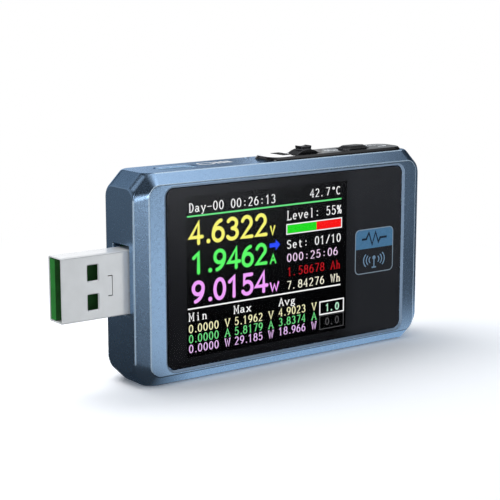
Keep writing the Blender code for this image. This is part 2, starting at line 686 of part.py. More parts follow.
def lever(black, steel):
    """A lever that rocks about a pin, on a carriage that slides down into its switch."""
    carriage_axis = joint_empty("lever_press_axis", (LEVER_X, CONTROL_Y, LEVER_AXIS_Z))
    rocker_axis = joint_empty("lever_rock_axis", (LEVER_X, CONTROL_Y, LEVER_AXIS_Z))
    hang(rocker_axis, carriage_axis)
    axis_point = (LEVER_X, CONTROL_Y, LEVER_AXIS_Z)
    rocker = slab("lever_rocker", rocker_profile(), "Y", around(CONTROL_Y, ROCKER_HALF_WIDTH), black)
    join(rocker, slab("lever_knob", knob_profile(), "Y", around(CONTROL_Y, KNOB_HALF_WIDTH)))
    bore = cylinder("cut_rocker_bore", "Y", axis_point, PIN_RADIUS + PIN_CLEARANCE, around(CONTROL_Y, 3))
    cut(rocker, bore)
    rear_ear_y = (REAR_EAR_START, FRONT_SOLDER - 0.1)
    across = (FRONT_EAR_Y[0], rear_ear_y[1])
    cylinder("lever_pin", "Y", axis_point, PIN_RADIUS, grown(across, -0.05), steel)
    carriage = box("lever_carriage", around(LEVER_X, CARRIAGE_HALF_LENGTH), across, CARRIAGE_Z, black)
    ear_x, ear_z = around(LEVER_X, EAR_HALF_LENGTH), (CARRIAGE_Z[1] - 0.4, LEVER_AXIS_Z + 1.2)
    for side, ear_y in (("front", FRONT_EAR_Y), ("rear", rear_ear_y)):
        join(carriage, rounded_block("ear_" + side, ear_x, ear_y, ear_z, "Y", 1.0))
    stem_z = (CARRIAGE_STEM_END, CARRIAGE_Z[0] + 0.3)
    join(carriage, cylinder("carriage_stem", "Z", (LEVER_X, CONTROL_Y, 0), CARRIAGE_STEM_RADIUS, stem_z))
    cut(carriage, cylinder("cut_ears", "Y", axis_point, PIN_RADIUS + PIN_CLEARANCE, grown(across, 1)))
    switch_x, switch_y = around(LEVER_X, LEVER_SWITCH_HALF_LENGTH), (-3.1, FRONT_SOLDER - 0.08)
    switch = box("lever_switch_body", switch_x, switch_y, LEVER_SWITCH_Z, black)
    well_z = (CARRIAGE_STEM_END - 0.6, LEVER_SWITCH_Z[1] + 0.8)
    cut(switch, cylinder("cut_switch_well", "Z", (LEVER_X, CONTROL_Y, 0), CARRIAGE_STEM_RADIUS + 0.1, well_z))
    hang(rocker, carriage_axis)
    rocker.parent = rocker_axis
    for name in ("lever_pin", "lever_carriage"):
        hang(bpy.data.objects[name], carriage_axis)


def back_button(black, steel):
    """The push button, and the plunger of the switch under it, which moves with it."""
    axis = joint_empty("button_press_axis", (BUTTON_X, CONTROL_Y, BUTTON_TOP))
    centre = (BUTTON_X, CONTROL_Y, 0)
    rings = []
    for level, inset in ((BUTTON_FLANGE_Z[1] - 0.2, 0.0), (BUTTON_SHOULDER, 0.0), (BUTTON_TOP, BUTTON_BEVEL)):
        rings.append(raise_outline(button_outline(-inset), "Z", level))
    button = loft("back_button", rings, black)
    flange_x = around(BUTTON_X, BUTTON_HALF_LENGTH + 0.9)
    flange = box("button_flange", flange_x, around(CONTROL_Y, BUTTON_HALF_WIDTH - 0.1), BUTTON_FLANGE_Z)
    stem_z = (TACT_PLUNGER_Z[1] + 0.05, BUTTON_FLANGE_Z[0] + 0.2)
    join(button, flange, cylinder("button_stem", "Z", centre, BUTTON_STEM_RADIUS, stem_z))
    cylinder("tact_plunger", "Z", centre, TACT_PLUNGER_RADIUS, TACT_PLUNGER_Z, steel)
    switch_x, switch_y = around(BUTTON_X, TACT_SWITCH_HALF_LENGTH), (-2.9, FRONT_SOLDER - 0.08)
    switch = box("tact_switch_body", switch_x, switch_y, TACT_SWITCH_Z, black)
    well_z = (TACT_PLUNGER_Z[0] - 0.5, TACT_SWITCH_Z[1] + 1.0)
    cut(switch, cylinder("cut_tact_well", "Z", centre, TACT_PLUNGER_RADIUS + 0.15, well_z))
    for name in ("back_button", "tact_plunger"):
        hang(bpy.data.objects[name], axis)


def build():
    case_metal = make_material("anodised_blue", (0.22, 0.33, 0.47), 0.34, 0.85)
    steel = make_material("bright_steel", (0.80, 0.80, 0.82), 0.22, 1.0)
    screw_steel = make_material("dark_screw_steel", (0.10, 0.10, 0.11), 0.35, 0.9)
    gold = make_material("gold_contact", (0.83, 0.62, 0.28), 0.25, 1.0)
    green = make_material("green_insulator", (0.02, 0.33, 0.04), 0.42)
    black = make_material("black_plastic", (0.012, 0.012, 0.014), 0.45)
    gloss = make_material("gloss_black", (0.008, 0.008, 0.010), 0.08)
    glass = make_material("window_glass", (0.02, 0.02, 0.022), 0.05, alpha=0.6)
    tape = make_material("seal_tape", (0.03, 0.03, 0.03), 0.8)
    panel = make_material("display_panel", (0.015, 0.015, 0.02), 0.15)
    frame = make_material("backlight_frame", (0.75, 0.76, 0.78), 0.45)
    film = make_material("ribbon_film", (0.55, 0.28, 0.06), 0.35)
    board = make_material("board_laminate", (0.02, 0.11, 0.05), 0.4)
    ceramic = make_material("ceramic", (0.06, 0.06, 0.065), 0.5)
    front_case(case_metal)
    back_cover(case_metal)
    cover_screws(screw_steel)
    window_and_display(glass, tape, panel, frame, film, black)
    main_board(board)
    board_parts(black, steel, ceramic, steel)
    usb_plug(steel, green, gold)
    usb_a_socket(steel, black, gold)
    right_mouth = CASE_HALF_LENGTH - 0.1
    type_c_socket("usb_c_right", "X", (RIGHT_C_Z, TYPE_C_Y), right_mouth, steel, black)
    type_c_socket("usb_c_top", "Z", (TOP_C_X, TYPE_C_Y), CASE_HEIGHT - 0.1, steel, black)
    control_plate(gloss)
    lever(black, steel)
    back_button(gloss, steel)


clear_scene()
parts = new_collection("usb_power_meter")
cutters = new_collection("cutters")
build()
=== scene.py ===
"""Looks of the USB power meter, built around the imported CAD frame.

The case, window, plug, sockets, controls and screws get finer meshes with rounded edges. The readings on the
display and the printed marks are thin solid pen strokes. Every piece and CAD node gets a procedural material.
The stage is a white floor with soft cards that only reflections see. Sizes are in millimetres, in the CAD's
frame.
"""

import json
import math

import bmesh
import bpy
from mathutils import Matrix, Vector


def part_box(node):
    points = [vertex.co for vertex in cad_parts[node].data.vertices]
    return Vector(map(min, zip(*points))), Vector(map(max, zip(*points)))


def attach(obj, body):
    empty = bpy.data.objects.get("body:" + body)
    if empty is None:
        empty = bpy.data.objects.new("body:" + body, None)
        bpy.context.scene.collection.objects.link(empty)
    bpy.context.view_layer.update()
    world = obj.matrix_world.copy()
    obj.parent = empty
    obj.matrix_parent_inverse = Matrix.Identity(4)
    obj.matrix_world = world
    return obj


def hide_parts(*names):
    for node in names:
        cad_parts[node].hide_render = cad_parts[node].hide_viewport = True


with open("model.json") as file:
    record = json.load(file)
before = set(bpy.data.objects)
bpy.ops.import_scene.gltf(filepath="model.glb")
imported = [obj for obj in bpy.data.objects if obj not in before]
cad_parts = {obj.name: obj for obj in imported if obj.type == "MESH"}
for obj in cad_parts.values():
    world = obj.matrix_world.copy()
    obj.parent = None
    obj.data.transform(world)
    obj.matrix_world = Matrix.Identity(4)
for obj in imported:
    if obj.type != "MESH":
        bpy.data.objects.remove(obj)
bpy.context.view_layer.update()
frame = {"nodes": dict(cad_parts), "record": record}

MM = 0.001
ROOT2 = math.sqrt(2)
SHARP_ANGLE = math.radians(32)


def spans(node):
    """The CAD node's low and high x, y and z in millimetres."""
    low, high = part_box(node)
    return [(low[i] / MM, high[i] / MM) for i in range(3)]


def middle(span):
    return (span[0] + span[1]) / 2


def grown(span, by):
    return (span[0] - by, span[1] + by)


def around(centre, half):
    return (centre - half, centre + half)


CASE_X, CASE_Y, CASE_Z = spans("front_case")
COVER_Y = spans("back_cover")[1]
GLASS_X, GLASS_Y, GLASS_Z = spans("display_window")
PANEL_X, _, PANEL_Z = spans("lcd_panel")
PLUG_X, PLUG_Y, PLUG_Z = spans("plug_shell")
SOCKET_X, SOCKET_Y, SOCKET_Z = spans("usb_a_socket_shell")
RIGHT_C = spans("usb_c_right_shell")
TOP_C = spans("usb_c_top_shell")
PLATE_X, PLATE_Y, PLATE_Z = spans("control_plate")
_, LEVER_Y, LEVER_Z = spans("lever_rocker")
PIN_X, _, PIN_Z = spans("lever_pin")
BUTTON_X, _, BUTTON_Z = spans("back_button")

# Case: a prism with flattened corners, chamfered all round its front and back faces.
HALF_LENGTH = CASE_X[1]
HALF_HEIGHT = (CASE_Z[1] - CASE_Z[0]) / 2
HALF_DEPTH = COVER_Y[1]
FRONT_Y = CASE_Y[0]
PARTING = CASE_Y[1]
SEAM = 0.07
CHAMFER_DEPTH = 1.85
CHAMFER_START = HALF_DEPTH - CHAMFER_DEPTH
EDGE_SOFT = 0.14
FACE_INSET_X = 2.4
FACE_INSET_Z = 2.05
FACE_CORNER_RADIUS = 2.3
FACE_EDGE = 0.18
FACE_EDGE_START = HALF_DEPTH - 0.6 * FACE_EDGE
CORNER_STEPS = 6

# Its corners: how much the flat cuts off, how deep it runs before it turns in, and how round its sides are.
FACET_CUT = 2.75
FACET_FLAT_HALF_DEPTH = 2.0
FACET_TURN_DEPTH = 3.8
FACET_TURN_EASE = 1.0
FACET_SIDE_BLEND = 0.3
CHAMFER_CORNER_BLEND = 3.6

# Its inside and its openings.
WALL = 1.5
FRONT_WALL_INNER = -5.0
CAVITY_X = grown(CASE_X, -WALL)
CAVITY_Z = grown(CASE_Z, -WALL)
CAVITY_RADIUS = 3.4
OPENING_DEPTH = WALL + 1.0
GAP = 0.15
PLUG_OPENING_Y = (PLUG_Y[0] - 0.3, PLUG_Y[1] + 0.75)
PLUG_OPENING_Z = (PLUG_Z[0] - 0.4, PLUG_Z[1] + 0.75)
PINHOLE = (-3.4, 3.5)

# Window: the recess, the glass, the print behind it and the display.
RECESS_FLOOR = -5.55
RECESS_SIDE_GAP = 0.1
GLASS_RADIUS = 1.6
GLASS_THICKNESS = 0.2
PRINT_Y = GLASS_Y[0] + GLASS_THICKNESS
SCREEN_X = (-24.7, 14.4)
SCREEN_Y = (PRINT_Y + 0.004, -5.85)
SCREEN_Z = (4.7, 35.2)
INK_THICKNESS = 0.02
INK_LIFT = 0.015

# Display lettering: pen is the half widths of the level and the upright strokes, fill the share of its cell
# that a character takes, and narrow the width of a point's cell.
SMALL = {"pen": (0.062, 0.106)}
BIG = {"pen": (0.36, 0.36), "fill": 0.85, "serifs": False, "narrow": 0.5}
UNIT = {"pen": (0.17, 0.17), "fill": 1.0, "serifs": False}
LIMIT = {"pen": (0.1, 0.15)}
IDLE = {"pen": (0.08, 0.12)}

# Plug: latch holes and stamped seam on its faces, and what lies behind the holes.
LATCH_HOLE_X = (PLUG_X[0] + 5.45, PLUG_X[0] + 7.65)
LATCH_HOLE_APART = 2.7
LATCH_HOLE_HALF = 1.45
SEAM_GROOVE_X = (PLUG_X[0] + 9.65, PLUG_X[0] + 10.65)
SEAM_GROOVE_HALF_HEIGHT = 1.93
SEAM_GROOVE_WIDTH = 0.17
BRIDGE_Y = (-0.95, -0.45)

# Controls
CONTROL_Y = middle(LEVER_Y)
LEVER_AXIS = (middle(PIN_X), middle(PIN_Z))
ROCKER_RADIUS = 4.9
ROCKER_HALF_WIDTH = 1.6
BUTTON_OUTLINE_HALF = (3.4, 1.85)
BUTTON_CORNER = 1.05


# ---------------------------------------------------------------- outlines

def fillet(points, radius, steps):
    """The closed outline through points with each corner turned into an arc of steps pieces."""
    outline = []
    for i, corner in enumerate(points):
        here = Vector(corner)
        back = (Vector(points[i - 1]) - here).normalized()
        ahead = (Vector(points[(i + 1) % len(points)]) - here).normalized()
        half = back.angle(ahead) / 2
        centre = here + (back + ahead).normalized() * (radius / math.sin(half))
        start = here + back * (radius / math.tan(half)) - centre
        end = here + ahead * (radius / math.tan(half)) - centre
        sweep = start.angle_signed(end)
        for k in range(steps + 1):
            outline.append(tuple(centre + Matrix.Rotation(-sweep * k / steps, 2) @ start))
    return outline


def rectangle(u, v, radius=0.0, steps=6):
    corners = [(u[0], v[0]), (u[1], v[0]), (u[1], v[1]), (u[0], v[1])]
    return fillet(corners, radius, steps) if radius > 0 else corners


def octagon(u, v, cut_off):
    """A rectangle with flattened corners."""
    return [
        (u[0] + cut_off, v[0]), (u[1] - cut_off, v[0]), (u[1], v[0] + cut_off), (u[1], v[1] - cut_off),
        (u[1] - cut_off, v[1]), (u[0] + cut_off, v[1]), (u[0], v[1] - cut_off), (u[0], v[0] + cut_off),
    ]


def rounded(u, v, radius, steps=6):
    """A function that gives the rounded rectangle grown by any amount."""
    return lambda grow: rectangle(grown(u, grow), grown(v, grow), max(radius + grow, 0.05), steps)


def circle(centre, radius, steps):
    turns = [2 * math.pi * k / steps for k in range(steps)]
    return [(centre[0] + radius * math.cos(t), centre[1] + radius * math.sin(t)) for t in turns]


def circle_grown(centre, radius, steps):
    """A function that gives the circle grown by any amount."""
    return lambda grow: circle(centre, radius + grow, steps)


def raised(outline, axis, level):
    """The points of a flat outline placed at level along axis."""
    place = {
        "X": lambda p: (level, p[0], p[1]),
        "Y": lambda p: (p[0], level, p[1]),
        "Z": lambda p: (p[0], p[1], level),
    }[axis]
    return [place(p) for p in outline]


def eased(past, ease):
    """past where it is positive and 0 where it is negative, with the kink rounded over ease to each side."""
    if past < -ease:
        return 0.0
    if past < ease:
        return (past + ease) ** 2 / (4 * ease)
    return past


def chamfer_share(y):
    """How far in the chamfer is at depth y, from 0 on the sides to 1 at the faces."""
    return eased(abs(y) - CHAMFER_START, EDGE_SOFT) / CHAMFER_DEPTH


def corner_blend(depth):
    """The radius where a flattened corner meets the sides: small at mid depth, large on the chamfer."""
    if depth > CHAMFER_START:
        share = (depth - CHAMFER_START) / CHAMFER_DEPTH
        return CHAMFER_CORNER_BLEND + (0.97 * FACE_CORNER_RADIUS - CHAMFER_CORNER_BLEND) * share
    past = max(0.0, depth - FACET_FLAT_HALF_DEPTH) / (CHAMFER_START - FACET_FLAT_HALF_DEPTH)
    return FACET_SIDE_BLEND + (CHAMFER_CORNER_BLEND - FACET_SIDE_BLEND) * (1 - math.sqrt(1 - past**2))


def case_ring(y, share=None, inset=0.0):
    """The case's outline at depth y. Its corners go from flats at mid depth to arcs on the faces."""
    share = chamfer_share(y) if share is None else share
    half_x = HALF_LENGTH - share * FACE_INSET_X - inset
    half_z = HALF_HEIGHT - share * FACE_INSET_Z - inset
    arc_x = HALF_LENGTH - FACE_INSET_X - FACE_CORNER_RADIUS
    arc_z = HALF_HEIGHT - FACE_INSET_Z - FACE_CORNER_RADIUS
    flat_reach = (HALF_LENGTH - arc_x + HALF_HEIGHT - arc_z - FACET_CUT) / ROOT2
    slope = (flat_reach - FACE_CORNER_RADIUS) / (HALF_DEPTH - FACET_TURN_DEPTH)
    reach = flat_reach - slope * eased(abs(y) - FACET_TURN_DEPTH, FACET_TURN_EASE) - inset
    corner = half_x - arc_x + half_z - arc_z - ROOT2 * reach
    blend = corner_blend(abs(y)) - inset
    outline = octagon(around(0.0, half_x), around(HALF_HEIGHT, half_z), corner)
    return raised(fillet(outline, blend, CORNER_STEPS), "Y", y)


def window_ring(y, x, z, radius):
    """A rounded rectangle with its points in step with case_ring's."""
    outline = rectangle(x, z, radius, 2 * CORNER_STEPS + 1)
    shift = CORNER_STEPS + 1
    return raised(outline[shift:] + outline[:shift], "Y", y)


def between(start, end, count):
    return [start + (end - start) * k / count for k in range(count + 1)]


def button_outline(grow):
    """The button's outline: a rectangle with cut corners, grown by this much."""
    half_x, half_y = BUTTON_OUTLINE_HALF
    x = around(middle(BUTTON_X), half_x + grow)
    y = around(CONTROL_Y, half_y + grow)
    return fillet(octagon(x, y, BUTTON_CORNER), 0.35, 3)


# ---------------------------------------------------------------- meshes

def new_object(name, mesh):
    obj = bpy.data.objects.new(name, mesh)
    bpy.context.scene.collection.objects.link(obj)
    return obj


def from_rings(name, rings, closed=False):
    """A closed body through rings of equal point count; closed joins the last ring to the first."""
    count = len(rings[0])
    points = [Vector(p) * MM for ring in rings for p in ring]
    joins = list(zip(range(len(rings) - 1), range(1, len(rings))))
    faces = []
    if closed:
        joins.append((len(rings) - 1, 0))
    else:
        faces.append(range(count))
        faces.append(range(len(points) - count, len(points)))
    for first, second in joins:
        for k in range(count):
            after = (k + 1) % count
            corners = (first * count + k, first * count + after, second * count + after, second * count + k)
            faces.append(corners)
    mesh = bpy.data.meshes.new(name)
    mesh.from_pydata(points, [], [tuple(face) for face in faces])
    bm = bmesh.new()
    bm.from_mesh(mesh)
    bmesh.ops.recalc_face_normals(bm, faces=bm.faces)
    bm.to_mesh(mesh)
    bm.free()
    return new_object(name, mesh)


def apply_modifiers(obj):
    """Replaces obj's mesh with what its modifiers make of it."""
    bpy.context.view_layer.update()
    made = bpy.data.meshes.new_from_object(obj.evaluated_get(bpy.context.evaluated_depsgraph_get()))
    obj.modifiers.clear()
    obj.data = made
    return obj


def combine(operation, target, *tools):
    for tool in tools:
        modifier = target.modifiers.new(tool.name, "BOOLEAN")
        modifier.operation = operation
        modifier.solver = "EXACT"
        modifier.object = tool
    apply_modifiers(target)
    for tool in tools:
        bpy.data.objects.remove(tool)
    return target


def cut(target, *tools):
    return combine("DIFFERENCE", target, *tools)


def fuse(target, *others):
    """Joins overlapping solids into one."""
    return combine("UNION", target, *others)


def join(target, *others):
    """Adds the others' meshes to target's."""
    bm = bmesh.new()
    bm.from_mesh(target.data)
    for other in others:
        bm.from_mesh(other.data)
        bpy.data.objects.remove(other)
    bm.to_mesh(target.data)
    bm.free()
    return target


def soften(obj, width, segments=3):
    """Rounds obj's sharp edges."""
    modifier = obj.modifiers.new("edges", "BEVEL")
    modifier.width = width * MM
    modifier.segments = segments
    modifier.limit_method = "ANGLE"
    modifier.angle_limit = math.radians(38)
    modifier.harden_normals = False
    return apply_modifiers(obj)


def tube(name, outline, axis, ends, wall, steps=8):
    """A thin sheet-metal tube with rounded lips; outline(grow) is its outer shape."""
    lip = wall / 2
    rings = []
    for end, outward in ((ends[0], -1), (ends[1], 1)):
        for k in range(steps + 1):
            turn = math.pi * k / steps
            turn = math.pi - turn if outward < 0 else turn
            grow = -lip + lip * math.cos(turn)
            rings.append(raised(outline(grow), axis, end + outward * lip * (math.sin(turn) - 1)))
    return from_rings(name, rings, closed=True)


def pillow(name, outline, axis, ends, edge, steps=4, square_end=False):
    """A solid between two ends along axis with rounded rims; outline(grow) is its shape."""
    turns = between(0.0, math.pi / 2, steps)
    rims = [(edge * (1 - math.sin(turn)), edge * (1 - math.cos(turn))) for turn in turns]
    rings = [raised(outline(-inset), axis, ends[0] + rise) for inset, rise in rims]
    if square_end:
        rings.append(raised(outline(0.0), axis, ends[1]))
    else:
        rings += [raised(outline(-inset), axis, ends[1] - rise) for inset, rise in reversed(rims)]
    return from_rings(name, rings)


def pocket(outline, axis, surface, inward, depth, flare):
    """A cutter for an opening with a chamfered mouth; inward is +1 or -1 along axis."""
    clear = 0.4
    levels = ((-clear, flare + clear), (flare, 0.0), (depth, 0.0))
    rings = [raised(outline(grow), axis, surface + inward * level) for level, grow in levels]
    return from_rings("pocket", rings)


def block(name, x, y, z):
    return from_rings(name, [raised(rectangle(x, z), "Y", level) for level in y])


def shade(obj, weighted=True):
    obj.data.shade_smooth()
    obj.data.set_sharp_from_angle(angle=SHARP_ANGLE)
    if weighted:
        modifier = obj.modifiers.new("normals", "WEIGHTED_NORMAL")
        modifier.keep_sharp = True
    return obj


def fit_out(obj, material, replaced=None, body="case", weighted=True):
    """Gives a finished piece its shading, material and body, and hides the CAD node that it stands for."""
    shade(obj, weighted)
    obj.data.materials.clear()
    obj.data.materials.append(material)
    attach(obj, body)
    if replaced:
        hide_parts(replaced)
    return obj


# ---------------------------------------------------------------- materials

class Nodes:
    """Short ways to add nodes to a shader tree and join them."""

    def __init__(self, tree):
        self.tree = tree

    def feed(self, socket, value):
        if isinstance(value, bpy.types.NodeSocket):
            self.tree.links.new(value, socket)
        else:
            socket.default_value = value

    def node(self, kind, **inputs):
        """A node of this kind; inputs are values or sockets, with _ for a space in the name."""
        made = self.tree.nodes.new(kind)
        for name, value in inputs.items():
            self.feed(made.inputs[name.replace("_", " ")], value)
        return made

    def result(self, kind, **inputs):
        """The first output of a new node of this kind."""
        return self.node(kind, **inputs).outputs[0]

    def place(self):
        return self.node("ShaderNodeTexCoord").outputs["Object"]

    def axes(self, vector):
        """The x, y and z of a vector."""
        return self.node("ShaderNodeSeparateXYZ", Vector=vector).outputs

    def stretched(self, x, y, z):
        return self.result("ShaderNodeMapping", Vector=self.place(), Scale=(x, y, z))

    def noise(self, size, detail=3.0, roughness=0.55, place=None):
        """Noise with features of about this size in millimetres."""
        made = self.node("ShaderNodeTexNoise", Scale=1 / (size * MM), Detail=detail, Roughness=roughness)
        self.feed(made.inputs["Vector"], place or self.place())
        return made.outputs["Fac"]

    def spread(self, value, low, high, start=0.3, end=0.7):
        """value, taken from start..end to low..high."""
        source = {"From_Min": start, "From_Max": end}
        return self.result("ShaderNodeMapRange", Value=value, To_Min=low, To_Max=high, **source)

    def maths(self, operation, first, second=0.0):
        made = self.tree.nodes.new("ShaderNodeMath")
        made.operation = operation
        self.feed(made.inputs[0], first)
        self.feed(made.inputs[1], second)
        return made.outputs["Value"]

    def plus(self, first, second):
        return self.maths("ADD", first, second)

    def times(self, first, *others):
        for other in others:
            first = self.maths("MULTIPLY", first, other)
        return first

    def blend(self, share, first, second):
        """A colour between two."""
        made = self.tree.nodes.new("ShaderNodeMix")
        made.data_type = "RGBA"
        self.feed(made.inputs[0], share)
        for socket, value in ((made.inputs[6], first), (made.inputs[7], second)):
            self.feed(socket, value if isinstance(value, bpy.types.NodeSocket) else (*value, 1.0))
        return made.outputs[2]

    def cloudy(self, fac, first, second):
        """A colour that drifts between two with a noise."""
        return self.blend(self.spread(fac, 0.0, 1.0), first, second)

    def either(self, share, first, second):
        """A shader mixed from two."""
        made = self.node("ShaderNodeMixShader", Fac=share)
        self.feed(made.inputs[1], first)
        self.feed(made.inputs[2], second)
        return made.outputs[0]


class Finish(Nodes):
    """A material, with its Principled shader."""

    def __init__(self, name):
        self.material = bpy.data.materials.new(name)
        self.material.use_nodes = True
        super().__init__(self.material.node_tree)
        self.shader = self.tree.nodes["Principled BSDF"]

    def set(self, **inputs):
        for name, value in inputs.items():
            self.feed(self.shader.inputs[name.replace("_", " ")], value)
        return self.material

    def surface(self, shader):
        """Shows this shader in place of the Principled one."""
        self.feed(self.tree.nodes["Material Output"].inputs["Surface"], shader)
        return self.material

    def bump(self, height, distance, strength=1.0):
        """A bumped normal; distance is in millimetres."""
        return self.result("ShaderNodeBump", Height=height, Distance=distance * MM, Strength=strength)

    def edges(self, radius):
        """1 on sharp convex and concave edges, 0 on open faces."""
        bevel = self.node("ShaderNodeBevel", Radius=radius * MM)
        bevel.samples = 4
        product = self.tree.nodes.new("ShaderNodeVectorMath")
        product.operation = "DOT_PRODUCT"
        self.feed(product.inputs[0], bevel.outputs["Normal"])
        self.feed(product.inputs[1], self.node("ShaderNodeNewGeometry").outputs["Normal"])
        return self.spread(product.outputs["Value"], 1.0, 0.0, 0.965, 0.997)


def anodised_metal(name):
    """Bead-blasted aluminium, anodised blue, with paler edges: a painted highlight along them, made patchy
    like wear.
    """
    finish = Finish(name)
    grain = finish.noise(0.22, 2.0, 0.7)
    colour = finish.cloudy(finish.noise(14.0, 2.0), (0.255, 0.395, 0.585), (0.285, 0.43, 0.63))
    colour = finish.blend(finish.spread(grain, 0.0, 0.35, 0.45, 0.75), colour, (0.42, 0.56, 0.75))
    # Paler, patchy edges: painted highlights along the chamfer edges, broken up like wear.
    edge_wear_and_highlight = finish.times(finish.edges(0.3), finish.spread(finish.noise(1.6, 3.0), 0.35, 0.75))
    colour = finish.blend(edge_wear_and_highlight, colour, (0.62, 0.73, 0.86))
    finish.set(Base_Color=colour, Metallic=1.0, Roughness=finish.spread(finish.noise(0.5, 3.0), 0.21, 0.29))
    return finish.set(Normal=finish.bump(grain, 0.02, 0.7), Specular_Tint=(0.62, 0.8, 1.0, 1.0))


def painted_edge_tone(name, dark, light, metallic):
    """Two close tones with fine lines that paint light and shade onto the case's edges and the slope round
    its glass.
    """
    finish = Finish(name)
    lines = finish.noise(0.07, 2.0)
    tone = finish.cloudy(lines, dark, light)
    return finish.set(Base_Color=tone, Metallic=metallic, Roughness=finish.spread(lines, 0.3, 0.45))


def plated_steel(name, colour=(0.89, 0.89, 0.89), roughness=(0.2, 0.26)):
    """Plated sheet with faint drawing lines along X."""
    finish = Finish(name)
    lines = finish.noise(0.09, 2.0, 0.6, finish.stretched(0.04, 1.0, 1.0))
    tone = finish.cloudy(finish.noise(3.0, 3.0), colour, tuple(0.93 * c for c in colour))
    finish.set(Base_Color=tone, Metallic=0.3, Roughness=finish.spread(lines, *roughness))
    return finish.set(Normal=finish.bump(lines, 0.0015, 0.5))


def screw_steel(name):
    """Blackened steel, with bare metal on the edges."""
    finish = Finish(name)
    grain = finish.noise(0.12, 3.0)
    colour = finish.blend(finish.times(finish.edges(0.1), 0.7), (0.10, 0.10, 0.11), (0.35, 0.36, 0.38))
    finish.set(Base_Color=colour, Metallic=1.0, Roughness=finish.spread(grain, 0.28, 0.42))
    return finish.set(Normal=finish.bump(grain, 0.006, 0.5))


def gold_plate(name):
    """Gold flash with the wipe marks that plugging in leaves along X."""
    finish = Finish(name)
    wipe = finish.noise(0.15, 3.0, 0.6, finish.stretched(0.1, 1.0, 1.0))
    tone = finish.cloudy(wipe, (0.86, 0.62, 0.26), (0.74, 0.52, 0.22))
    return finish.set(Base_Color=tone, Metallic=1.0, Roughness=finish.spread(wipe, 0.16, 0.3))


def moulded(name, dark, light, roughness, grain_size=0.25, bump=0.01, coat=0.0, highlight_edges=None):
    """Moulded plastic with a fine grain and cloudy tone, and, where an edge colour is given, edges of that
    colour as a painted highlight.
    """
    finish = Finish(name)
    colour = finish.cloudy(finish.noise(2.5, 3.0), dark, light)
    grain = finish.noise(grain_size, 3.0, 0.6)
    if highlight_edges:
        colour = finish.blend(finish.times(finish.edges(0.2), 0.7), colour, highlight_edges)
    finish.set(Base_Color=colour, Roughness=finish.spread(grain, *roughness))
    return finish.set(Normal=finish.bump(grain, bump, 0.6), Coat_Weight=coat, Coat_Roughness=0.08)


def board_laminate(name):
    """Green solder mask over copper: woven base, with raised tracks as a fine square pattern."""
    finish = Finish(name)
    bricks = finish.node("ShaderNodeTexBrick", Scale=1 / (3.0 * MM), Vector=finish.place(), Mortar_Size=0.06)
    tracks = bricks.outputs["Fac"]
    colour = finish.blend(tracks, (0.012, 0.09, 0.045), (0.03, 0.19, 0.08))
    finish.set(Base_Color=colour, Roughness=finish.spread(finish.noise(0.3, 2.0), 0.25, 0.4))
    return finish.set(Normal=finish.bump(tracks, 0.03, 0.5), Coat_Weight=0.5)


def clear_glass(name):
    """Coated flat glass: a weak mirror over a clear layer, with a faint lit diffuse layer, stronger at the
    top left, that paints a lighter sheen there.
    """
    coating = 0.07
    finish = Finish(name)
    clear = finish.result("ShaderNodeBsdfTransparent", Color=(0.97, 0.97, 0.975, 1.0))
    # A faint diffuse share, stronger to the top left, paints the glass's lighter sheen there.
    painted_sheen = finish.result("ShaderNodeBsdfDiffuse", Color=(0.9, 0.9, 0.95, 1.0))
    smear = finish.spread(finish.noise(6.0, 4.0, 0.65), 0.03, 0.09)
    mirror = finish.result("ShaderNodeBsdfGlossy", Color=(1.0, 1.0, 1.0, 1.0), Roughness=smear)
    front = finish.maths("SUBTRACT", 1.0, finish.node("ShaderNodeNewGeometry").outputs["Backfacing"])
    x, y, z = finish.axes(finish.place())
    upper = finish.maths("POWER", finish.spread(z, 0.0, 1.0, 11 * MM, 38 * MM), 2.0)
    left = finish.spread(x, 0.06, 0.015, -28 * MM, 18 * MM)
    clear_with_sheen = finish.either(finish.times(upper, left, front), clear, painted_sheen)
    reflected = finish.times(finish.result("ShaderNodeFresnel", IOR=1.45), front, coating)
    return finish.surface(finish.either(reflected, clear_with_sheen, mirror))


def black_print(name):
    """Screen-printed black behind the glass, a little paler beside the display."""
    finish = Finish(name)
    x, y, z = finish.axes(finish.place())
    beside = finish.spread(x, 0.0, 1.0, (SCREEN_X[1] - 3) * MM, (SCREEN_X[1] + 3) * MM)
    colour = finish.blend(beside, (0.0135, 0.0135, 0.0155), (0.034, 0.035, 0.039))
    return finish.set(Base_Color=colour, Roughness=0.6, Specular_IOR_Level=0.0)


def dark_screen(name):
    """The unlit pixels of the display: nearly black, in a fine square grid."""
    pixel = 0.127
    finish = Finish(name)
    grid = finish.node("ShaderNodeTexChecker", Scale=1 / (pixel * MM), Vector=finish.place()).outputs["Fac"]
    colour = finish.blend(grid, (0.0008, 0.0008, 0.001), (0.0016, 0.0016, 0.0019))
    return finish.set(Base_Color=colour, Roughness=0.5, Specular_IOR_Level=0.0)


def lit_ink(name, colour):
    """Lit pixels: slightly uneven light that doesn't fall on the plain surfaces round them."""
    finish = Finish(name)
    direct = finish.maths("SUBTRACT", 1.0, finish.node("ShaderNodeLightPath").outputs["Is Diffuse Ray"])
    level = finish.times(finish.spread(finish.noise(0.2, 2.0), 0.97, 1.06), direct)
    finish.material.cycles.emission_sampling = "NONE"
    finish.set(Base_Color=(0.0, 0.0, 0.0, 1.0), Emission_Color=(*colour, 1.0), Emission_Strength=level)
    return finish.set(Specular_IOR_Level=0.0)


def flat_ink(name, colour):
    """Printed ink with a slightly broken tone."""
    finish = Finish(name)
    tone = finish.cloudy(finish.noise(0.5, 3.0), colour, tuple(0.86 * c for c in colour))
    return finish.set(Base_Color=tone, Roughness=0.5, Specular_IOR_Level=0.2)


def linear(code):
    """An sRGB colour such as "f5f17a" in linear light."""
    shares = [int(code[i:i + 2], 16) / 255 for i in (0, 2, 4)]
    return tuple(c / 12.92 if c <= 0.04045 else ((c + 0.055) / 1.055) ** 2.4 for c in shares)


# ---------------------------------------------------------------- case

